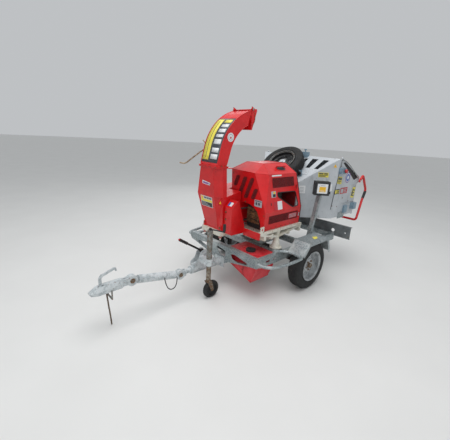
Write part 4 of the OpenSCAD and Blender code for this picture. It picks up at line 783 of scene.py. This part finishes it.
# Small yellow triangle on the red bracket plate beside the duct
sticker(
    "bracket_triangle", [(88.2, -936, 1030), (88.2, -902, 1020), (88.2, -916, 1056)], amber_vinyl,
    "turntable", 0.8, 3,
)


def on_cover(x, t):
    """A point on the belt cover's chamfer; t runs from its lower to its upper edge."""
    return (x, -850 + 78 * t, 984 + 76 * t)


sticker(
    "cover_label_blue",
    [on_cover(112, 0.25), on_cover(140, 0.25), on_cover(140, 0.72), on_cover(112, 0.72)], blue_vinyl,
    "turntable", 1, 3,
)
sticker(
    "cover_label_white",
    [on_cover(140, 0.25), on_cover(176, 0.25), on_cover(176, 0.72), on_cover(140, 0.72)], white_vinyl,
    "turntable", 1, 3,
)
bolts("cover_bolts", [(at(114, -850, z), (0, -1, 0)) for z in (932, 850)], "turntable", 9, material=dull_bolt)
for k, seam in enumerate([
    [
        (205, -850, 692), (205, -850, 984), (205, -772, 1060), (205, -750, 1060), (205, -640, 760),
        (205, -640, 682),
    ],
    [(90, -850, 984), (205, -850, 984)], [(90, -772, 1060), (205, -772, 1060)],
]):
    tube(f"cover_seam_{k}", [at(*p) for p in seam], 2.4, red_enamel, "turntable", smooth=False)
for k, seam in enumerate([
    [(-200, -866, 702), (-288, -935, 1090), (-225, -950, 1399)], [
        (8, -866, 702), (8, -935, 1090), (-23, -950, 1399),
    ],
    [(84, -866, 702), (84, -876, 1090), (60, -878, 1399)], [
        (-288, -935, 1090), (8, -935, 1090), (84, -876, 1090),
    ],
]):
    tube(f"housing_weld_{k}", [at(*p) for p in seam], 2.8, red_enamel, "turntable", smooth=False)
lug_bolts = [(at(x, -881, 738), (0, -1, 0)) for x in (-220, 57)]
top_bolts = [(at(x, -955, 1405), (0, -1, 0)) for x in (-180, 10)]
bolts("housing_lug_bolts", lug_bolts + top_bolts, "turntable", 9, material=dull_bolt)
# Red rubber-mounted feet below the rotor housing's lugs
for k, x in enumerate((-220, 57)):
    bm = bmesh.new()
    turned(bm, [(17, 0), (20, 3), (15, 8), (20, 13), (17, 17), (9, 19)], at(x, -865, 618), (0, 0, 1), 28)
    piece(f"mount_collar_{k}", bm, red_plastic, "turntable")

# ---- engine behind the hood's arch


def engine_details():
    # Near-black plate round the silencer: painted shade for the dark bay behind the hood's arch
    bm = bmesh.new()
    surround = [at(x, -553, z) for x, z in ((165, 745), (425, 745), (425, 1004), (165, 1004))]
    slab(bm, surround, Vector((0, 0.004, 0)))
    piece("engine_surround", bm, painted_bay_shade, "turntable", bevel_mm=1)
    bm = bmesh.new()
    face = at(262, -568, 884)
    turned(bm, [(30, -2), (30, 6), (26, 9), (14, 9), (12, 4), (0, 4)], face, (0, -1, 0), 32)
    for k in range(8):
        a = 2 * math.pi * k / 8
        turned(
            bm, [(7, -1), (7, 5), (4, 7), (0, 7)],
            face + Vector((math.cos(a) * 0.062, 0, math.sin(a) * 0.062)), (0, -1, 0), 12,
        )
    for x, z in ((180, 812), (344, 812), (180, 960), (344, 960)):
        bolt(bm, at(x, -566, z), (0, -1, 0), 7)
    piece("silencer_face", bm, burnt_plate, "turntable")
    tube(
        "exhaust_bend",
        [at(330, -545, 930), at(352, -575 + 22, 940), at(372, -540, 960), at(380, -500, 980)], 13,
        burnt_plate, "turntable",
    )
    # Recoil cover: a drum with ribs and a slotted centre, seen through the side window
    bm = bmesh.new()
    centre = at(392, -320, 900)
    turned(
        bm, [(112, -2), (112, 8), (104, 14), (60, 18), (56, 24), (20, 24), (18, 18), (0, 18)], centre,
        (1, 0, 0), 48,
    )
    for k in range(16):
        a = 2 * math.pi * k / 16
        radial = Vector((0, math.cos(a), math.sin(a)))
        slab(bm, [
            centre + Vector((0.0155, 0, 0)) + radial * 0.066 + radial.cross(Vector((1, 0, 0))) * 0.003,
            centre + Vector((0.0155, 0, 0)) + radial * 0.066 - radial.cross(Vector((1, 0, 0))) * 0.003,
            centre + Vector((0.012, 0, 0)) + radial * 0.1 - radial.cross(Vector((1, 0, 0))) * 0.005,
            centre + Vector((0.012, 0, 0)) + radial * 0.1 + radial.cross(Vector((1, 0, 0))) * 0.005,
        ], Vector((0.006, 0, 0)))
    piece("recoil_cover", bm, black_plastic, "turntable")
    bm = bmesh.new()
    turned(
        bm, [(46, 0), (50, 6), (50, 214), (44, 222), (0, 222)],
        at(300, -440, 1170) + Vector((0, 0, 0.006)), (0, 1, 0), 32,
    )
    piece("air_filter_can", bm, black_plastic, "turntable")
    bm = bmesh.new()
    for y in (-380, -330, -280):
        box(bm, (206, y, 1188), (264, y + 26, 1196))
    piece("rocker_cover_ribs", bm, engine_casting, "turntable", bevel_mm=1.5)
    tube(
        "plug_lead",
        [at(340, -220, 1060), at(366, -210, 1100), at(372, -260, 1150), at(352, -330, 1180)], 4,
        cable_sheath, "turntable",
    )
    tube(
        "fuel_line", [at(330, -150, 820), at(392, -130, 850), at(398, -150, 960), at(360, -180, 1040)],
        4, cable_sheath, "turntable",
    )
    # Red inner wall that shows through the window, behind the engine, darkened to dark red as painted shade
    # for the dim inside of the hood
    bm = bmesh.new()
    box(bm, (100, 30, 780), (396, 34, 1215))
    piece("inner_bulkhead", bm, screen_red, "turntable", bevel_mm=1)
    # Near-black wall beside the window: painted shade for the dark inside of the hood
    bm = bmesh.new()
    box(bm, (92, -104, 1008), (96, 28, 1215))
    piece("inner_side_wall", bm, painted_bay_shade, "turntable", bevel_mm=1)


engine_details()

# ---------------------------------------------------------------- the hopper's details


def label(name, corners, material, lift=1.0, radius=4, body="turntable"):
    return sticker(name, corners, material, body, lift, radius)


def within(corners, x0, x1, y0, y1):
    """Part of a four-sided label, by shares of its width and height from its first corner."""
    a, b, c, d = (Vector(p) for p in corners)

    def spot(u, v):
        return tuple((a * (1 - u) + b * u) * (1 - v) + (d * (1 - u) + c * u) * v)

    return [spot(x0, y0), spot(x1, y0), spot(x1, y1), spot(x0, y1)]


# Flare between the roof and the mouth: plates and notices, with plain bars for their lines
FLARE_PLATE = [(447, 408, 1293), (533, 504, 1293), (529, 500, 1353), (442, 403, 1351)]
label("flare_plate", FLARE_PLATE, yellow_vinyl, 1.5)
for k, (u0, u1, v0, v1) in enumerate(
    [(0.06, 0.5, 0.6, 0.88), (0.56, 0.94, 0.6, 0.88), (0.06, 0.94, 0.34, 0.48), (0.06, 0.7, 0.12, 0.25)],
):
    label(f"flare_plate_mark_{k}", within(FLARE_PLATE, u0, u1, v0, v1), charcoal_vinyl, 2.2, 2)
label("flare_triangle", [(562, 537, 1424), (592, 570, 1421), (577, 553, 1463)], amber_vinyl, 1.5, 3)
FLARE_PAPER = [(297, 242, 1075), (351, 302, 1075), (349, 299, 1176), (292, 236, 1171)]
label("flare_paper", FLARE_PAPER, white_vinyl, 1.5, 3)
for k in range(4):
    label(
        f"flare_paper_line_{k}",
        within(FLARE_PAPER, 0.12, 0.85 - 0.08 * (k % 2), 0.16 + 0.19 * k, 0.23 + 0.19 * k), grey_vinyl,
        2.2, 1,
    )
label(
    "flare_sheet", [(538, 510, 1113), (579, 555, 1122), (576, 552, 1212), (533, 504, 1199)],
    white_vinyl, 1.2, 4,
)

# Mouth of the hopper
SIDE = 611


def on_mouth(points):
    return [(SIDE, y, z) for y, z in points]


MOUTH_PLATE = on_mouth([(609, 1218), (719, 1203), (719, 1301), (607, 1308)])
label("mouth_plate", MOUTH_PLATE, yellow_vinyl, 1.2)
for k, (u0, u1, v0, v1) in enumerate(
    [(0.08, 0.45, 0.5, 0.9), (0.52, 0.92, 0.52, 0.88), (0.08, 0.9, 0.3, 0.4), (0.08, 0.7, 0.1, 0.2)],
):
    label(f"mouth_plate_mark_{k}", within(MOUTH_PLATE, u0, u1, v0, v1), charcoal_vinyl, 2.0, 3)
for k, (radius, material) in enumerate(
    [(70, purple_vinyl), (58, white_vinyl), (50, blue_vinyl), (24, white_vinyl)],
):
    disc_label(
        f"mouth_roundel_{k}", at(SIDE, 885, 1282), (1, 0, 0), radius, material, "turntable",
        0.8 + 0.6 * k,
    )
for name, corners, ground, mark in (
    ("mouth_warning", [(575, 1080), (700, 1080), (700, 1144), (575, 1144)], black_vinyl, yellow_vinyl),
    ("mouth_danger", [(725, 1072), (925, 1072), (925, 1152), (725, 1152)], red_vinyl, grey_vinyl),
    ("mouth_notice", [(1064, 993), (1158, 978), (1179, 1130), (1094, 1137)], yellow_vinyl, charcoal_vinyl),
):
    corners = on_mouth(corners)
    label(name, corners, ground, 1.2)
    label(name + "_panel", within(corners, 0.08, 0.42, 0.15, 0.85), mark, 2.0, 4)
    for k in range(3):
        label(
            f"{name}_line_{k}",
            within(corners, 0.5, 0.92 - 0.1 * (k % 2), 0.16 + 0.25 * k, 0.28 + 0.25 * k), mark, 2.0, 2,
        )

tube(
    "mouth_seam", [at(SIDE, y, z) for y, z in ((641, 1516), (606, 1300), (570, 1090), (536, 885))], 4,
    charcoal_vinyl, "turntable", smooth=False,
)
tube("flare_seam", [at(240, 176, 1545), at(240, 176, 900)], 3, charcoal_vinyl, "turntable", smooth=False)


def curtain():
    """Ribbed rubber curtain behind the mouth's edge."""
    bm = bmesh.new()
    top, low = [], []
    for k in range(25):
        t = k / 24
        wave = 4 * math.sin(k * math.pi * 0.5)
        top.append(bm.verts.new(at(SIDE - 5 + 1.5 * (k % 2), 772 + 439 * t, 1492 - 235 * t + wave)))
        low.append(bm.verts.new(at(SIDE - 5 + 1.5 * (k % 2), 655 + 433 * t, 1470 - 260 * t)))
    for k in range(24):
        bm.faces.new((low[k], low[k + 1], top[k + 1], top[k]))
    made = piece("mouth_curtain", bm, belt_rubber, "turntable", closed=False)
    thick = made.modifiers.new("sheet", "SOLIDIFY")
    thick.thickness = 0.003


def bracket(name, y0, y1, z0, z1, material, deep=8):
    """A folded plate with a lip round its rim, bolted to the mouth's side."""
    bm = bmesh.new()
    box(bm, (SIDE - 2, y0, z0), (SIDE + deep * 0.4, y1, z1))
    box(bm, (SIDE, y0, z1 - 4), (SIDE + deep, y1, z1))
    box(bm, (SIDE, y0, z0), (SIDE + deep, y1, z0 + 4))
    for y in (y0 + 18, y1 - 18):
        bolt(bm, at(SIDE + deep * 0.4, y, (z0 + z1) / 2), (1, 0, 0), 7)
    return piece(name, bm, material, "turntable", bevel_mm=1)


bracket("mouth_pivot_bracket", 1064, 1190, 1186, 1240, grey_paint)
bracket("mouth_foot_plate", 840, 1180, 818, 930, grey_paint)
bracket("mouth_latch_plate", 760, 940, 730, 812, galvanised_steel, 7)
tube(
    "mouth_edge_rod", [at(SIDE + 2, 646, 1520), at(SIDE + 2, 780, 1489), at(SIDE + 2, 1212, 1255)], 5,
    bright_zinc, "turntable",
)
MOUTH_RIVETS = [
    (650, 1440), (760, 1410), (900, 1345), (1030, 1270), (560, 930), (700, 905), (830, 1010), (1010, 950),
]
bolts(
    "mouth_rivets", [(at(SIDE, y, z), (1, 0, 0)) for y, z in MOUTH_RIVETS], "turntable", 5,
    material=dull_bolt,
)

# Roof: the spare wheel's clamp


def clamp():
    """Plate and round cap that hold the spare wheel against the hopper."""
    bm = bmesh.new()
    box(bm, (214, 300, 1281), (222, 372, 1359))
    box(bm, (214, 300, 1281), (268, 308, 1359))
    piece("spare_clamp_plate", bm, switch_plastic, "turntable", bevel_mm=2)
    bm = bmesh.new()
    turned(bm, [(22, 0), (24, 4), (24, 16), (20, 20), (0, 20)], at(240, 301, 1320), (0, -1, 0), 28)
    piece("spare_clamp_cap", bm, black_plastic, "turntable")


curtain()
clamp()

# Yellow patch on the mudguard
label(
    "mudguard_patch", [(670, 72, 621.5), (732, 11, 621.5), (738, 81, 621.5), (696, 136, 621.5)],
    yellow_vinyl, 1.0, 6, "chassis",
)


# ---------------------------------------------------------------- tyres and rims


def wheel_spot(centre, axis, turn, radius, out):
    """A point on a wheel, in metres, from a turn about its axle and mm from its axle and middle."""
    across = axis.cross(Vector((0, 1, 0)) if abs(axis.y) < 0.9 else UP).normalized()
    arm = across * math.cos(turn) + axis.cross(across) * math.sin(turn)
    return centre + arm * radius / 1000 + axis * out / 1000


def tyre_relief(name, centre, axis, radius, width, body):
    """Tread blocks in three staggered rows, shoulder lugs, and raised rings on both sidewalls."""
    bm = bmesh.new()

    def block(foot_ring, top_ring):
        base = [bm.verts.new(wheel_spot(centre, axis, *spot)) for spot in foot_ring]
        top = [bm.verts.new(wheel_spot(centre, axis, *spot)) for spot in top_ring]
        bm.faces.new(top)
        for i in range(4):
            bm.faces.new((base[i], base[(i + 1) % 4], top[(i + 1) % 4], top[i]))

    count = 56
    pitch = 2 * math.pi / count
    rows = [(-0.24, -0.09, 0.0, -0.6), (-0.075, 0.075, 0.5, -0.6), (0.09, 0.24, 0.0, -0.6)]
    for k in range(count):
        for low, high, stagger, foot in rows:
            a, b = pitch * (k + stagger), pitch * (k + stagger + 0.74)
            skew = pitch * 0.22
            ring = [(a, low), (b, low), (b + skew, high), (a + skew, high)]
            block(
                [(t, radius + foot, w * width) for t, w in ring],
                [(t, radius + 1.6, w * width) for t, w in ring],
            )
        for side in (1, -1):
            a, b = pitch * (k + 0.1), pitch * (k + 0.7)
            lug = [(a, 0.27, -0.9), (b, 0.27, -0.9), (b, 0.375, -5), (a, 0.375, -5)]
            block(
                [(t, radius + fall - 1.5, side * w * width) for t, w, fall in lug],
                [(t, radius + fall + 1.8, side * (w * width + 0.6)) for t, w, fall in lug],
            )
    for side in (1, -1):
        for inset, out in ((30, 0.476), (56, 0.499), (84, 0.482)):
            seat = width * out
            turned(
                bm, [
                    (radius - inset + 2.4, seat - 4), (radius - inset + 1.2, seat + 1.2),
                    (radius - inset - 1.2, seat + 1.2), (radius - inset - 2.4, seat - 4),
                ],
                centre, axis * side, 72, loop=True,
            )
    bmesh.ops.recalc_face_normals(bm, faces=bm.faces)
    return piece(name, bm, tyre_rubber, body, closed=False)


def rim_details(name, centre, face, width, body, material, bolt_material):
    """Rolled beads, a valve, nuts and rivets on the dished side of a rim."""
    bm = bmesh.new()
    for radius, out in ((181, 0.47), (168, 0.4)):
        turned(
            bm, [
                (radius + 2.5, out * width - 3), (radius + 2, out * width + 1),
                (radius - 2, out * width + 1), (radius - 2.5, out * width - 3),
            ],
            centre, face, 72, loop=True,
        )
    for k in range(8):
        turn = math.pi * (k + 0.5) / 4
        seat = wheel_spot(centre, face, turn, 143, width * 0.055)
        turned(bm, [(11, -3), (10, 1.5), (7, 2.5), (0, 2.5)], seat, face, 16)
    piece(name + "_beads", bm, material, body)
    bm = bmesh.new()
    for k in range(5):
        turn = 2 * math.pi * (k + 0.5) / 5
        bolt(bm, wheel_spot(centre, face, turn, 56, width * 0.2), face, 9)
    valve = wheel_spot(centre, face, 0.4, 152, width * 0.1)
    turned(bm, [(5, -2), (5, 10), (3.5, 12), (3.5, 30), (0, 31)], valve, face, 12)
    piece(name + "_nuts", bm, bolt_material, body)


ROAD_WHEEL = {"left": 1, "right": -1}
for side, sign in ROAD_WHEEL.items():
    hub_centre = at(sign * 686.5, 0, 290)
    tyre_relief("tread_" + side, hub_centre, Vector((1, 0, 0)), 290, 165, "wheel_" + side)
    rim_details(
        "rim_" + side + "_detail", hub_centre, Vector((sign, 0, 0)), 165, "wheel_" + side,
        silver_enamel, dull_bolt,
    )

SPARE_TILT = math.atan2(1530 - 1216, 590 - 229)
spare_axis = Vector((0, -math.sin(SPARE_TILT), math.cos(SPARE_TILT)))
spare_middle = at(
    -60, 229 + 200 * math.cos(SPARE_TILT) - 83 * math.sin(SPARE_TILT),
    1216 + 200 * math.sin(SPARE_TILT) + 83 * math.cos(SPARE_TILT),
)
tyre_relief("tread_spare", spare_middle, spare_axis, 286, 150, "turntable")
rim_details("rim_spare_detail", spare_middle, spare_axis, 150, "turntable", tired_zinc, bright_zinc)

# ---------------------------------------------------------------- document box, levers and drawbar

BOX_MIDDLE = (597, 248, 1190)


def on_box(u, v, out):
    """A point on the document box, in mm: across, up and out from the middle of its lid."""
    k = math.sqrt(0.5)
    x, y, z = BOX_MIDDLE
    return (x + (u + out) * k, y + (u - out) * k, z + v)


def box_label(name, u0, u1, v0, v1, material, out):
    sticker(
        name, [on_box(u0, v0, out), on_box(u1, v0, out), on_box(u1, v1, out), on_box(u0, v1, out)],
        material, "box_lid", 0.3, 5,
    )


for name, u0, u1, v0, v1, material, out in (
    ("lid_rim", -76, 76, -70, 70, charcoal_vinyl, 52.2), ("lid_window", -60, 62, -58, 56, white_vinyl, 53),
    ("lid_notice", -36, 40, -40, 22, amber_vinyl, 53.8), (
        "lid_notice_line", -28, 30, 32, 40, grey_vinyl, 53.8,
    ),
    ("lid_notice_foot", -26, 26, -30, -24, white_vinyl, 54.6),
):
    box_label(name, u0, u1, v0, v1, material, out)
tube(
    "lid_rim_bead",
    rounded([at(*on_box(u, v, 53)) for u, v in ((-72, -66), (72, -66), (72, 66), (-72, 66))], 0.012, 4),
    3, black_plastic, "box_lid", cyclic=True,
)

# Dark foam grip on the hopper's control bar
tube(
    "bar_grip_near", [at(641, 1470, 1052), at(641, 1442, 990), at(641, 1420, 950)], 19.5, black_plastic,
    "control_bar",
)

# ---------------------------------------------------------------- floor and light


def studio():
    bm = bmesh.new()
    bmesh.ops.create_circle(bm, cap_ends=True, radius=60, segments=96)
    mesh = bpy.data.meshes.new("floor")
    bm.to_mesh(mesh)
    bm.free()
    floor = bpy.data.objects.new("floor", mesh)
    scene.collection.objects.link(floor)
    matt = bpy.data.materials.new("pale_studio_floor")
    matt.use_nodes = True
    tree = matt.node_tree
    shader = tree.nodes["Principled BSDF"]
    shader.inputs["Roughness"].default_value = 0.8
    place = add(tree, "TexCoord").outputs["Object"]
    mottle = add(tree, "TexNoise", Vector=place, Scale=1.5, Detail=6.0)
    tone = add(
        tree, "Mix", {"data_type": "RGBA"}, i0=mottle.outputs[0], i6=linear("#dcdcda"),
        i7=linear("#e4e4e2"),
    )
    tree.links.new(tone.outputs[2], shader.inputs["Base Color"])
    mesh.materials.append(matt)

    scene.view_settings.view_transform = "Standard"
    world = bpy.data.worlds.new("studio")
    scene.world = world
    world.use_nodes = True
    sky = world.node_tree.nodes["Background"]
    sky.inputs[0].default_value = linear("#e2e5e8")
    sky.inputs[1].default_value = 0.68

    for name, spot, aim, size, power in [
        ("overhead_softbox", (0.3, -0.6, 5.5), (0, 0, 0.6), 4.0, 160),
        ("front_softbox", (3.8, -5.0, 3.6), (0, 0, 0.8), 3.0, 60),
        ("rear_fill", (-4.5, 3.5, 3.2), (0, 0, 0.8), 3.0, 25),
    ]:
        lamp = bpy.data.lights.new(name, "AREA")
        lamp.size = size
        lamp.energy = power
        holder = bpy.data.objects.new(name, lamp)
        holder.location = spot
        holder.rotation_euler = (Vector(aim) - Vector(spot)).to_track_quat("-Z", "Y").to_euler()
        scene.collection.objects.link(holder)


studio()
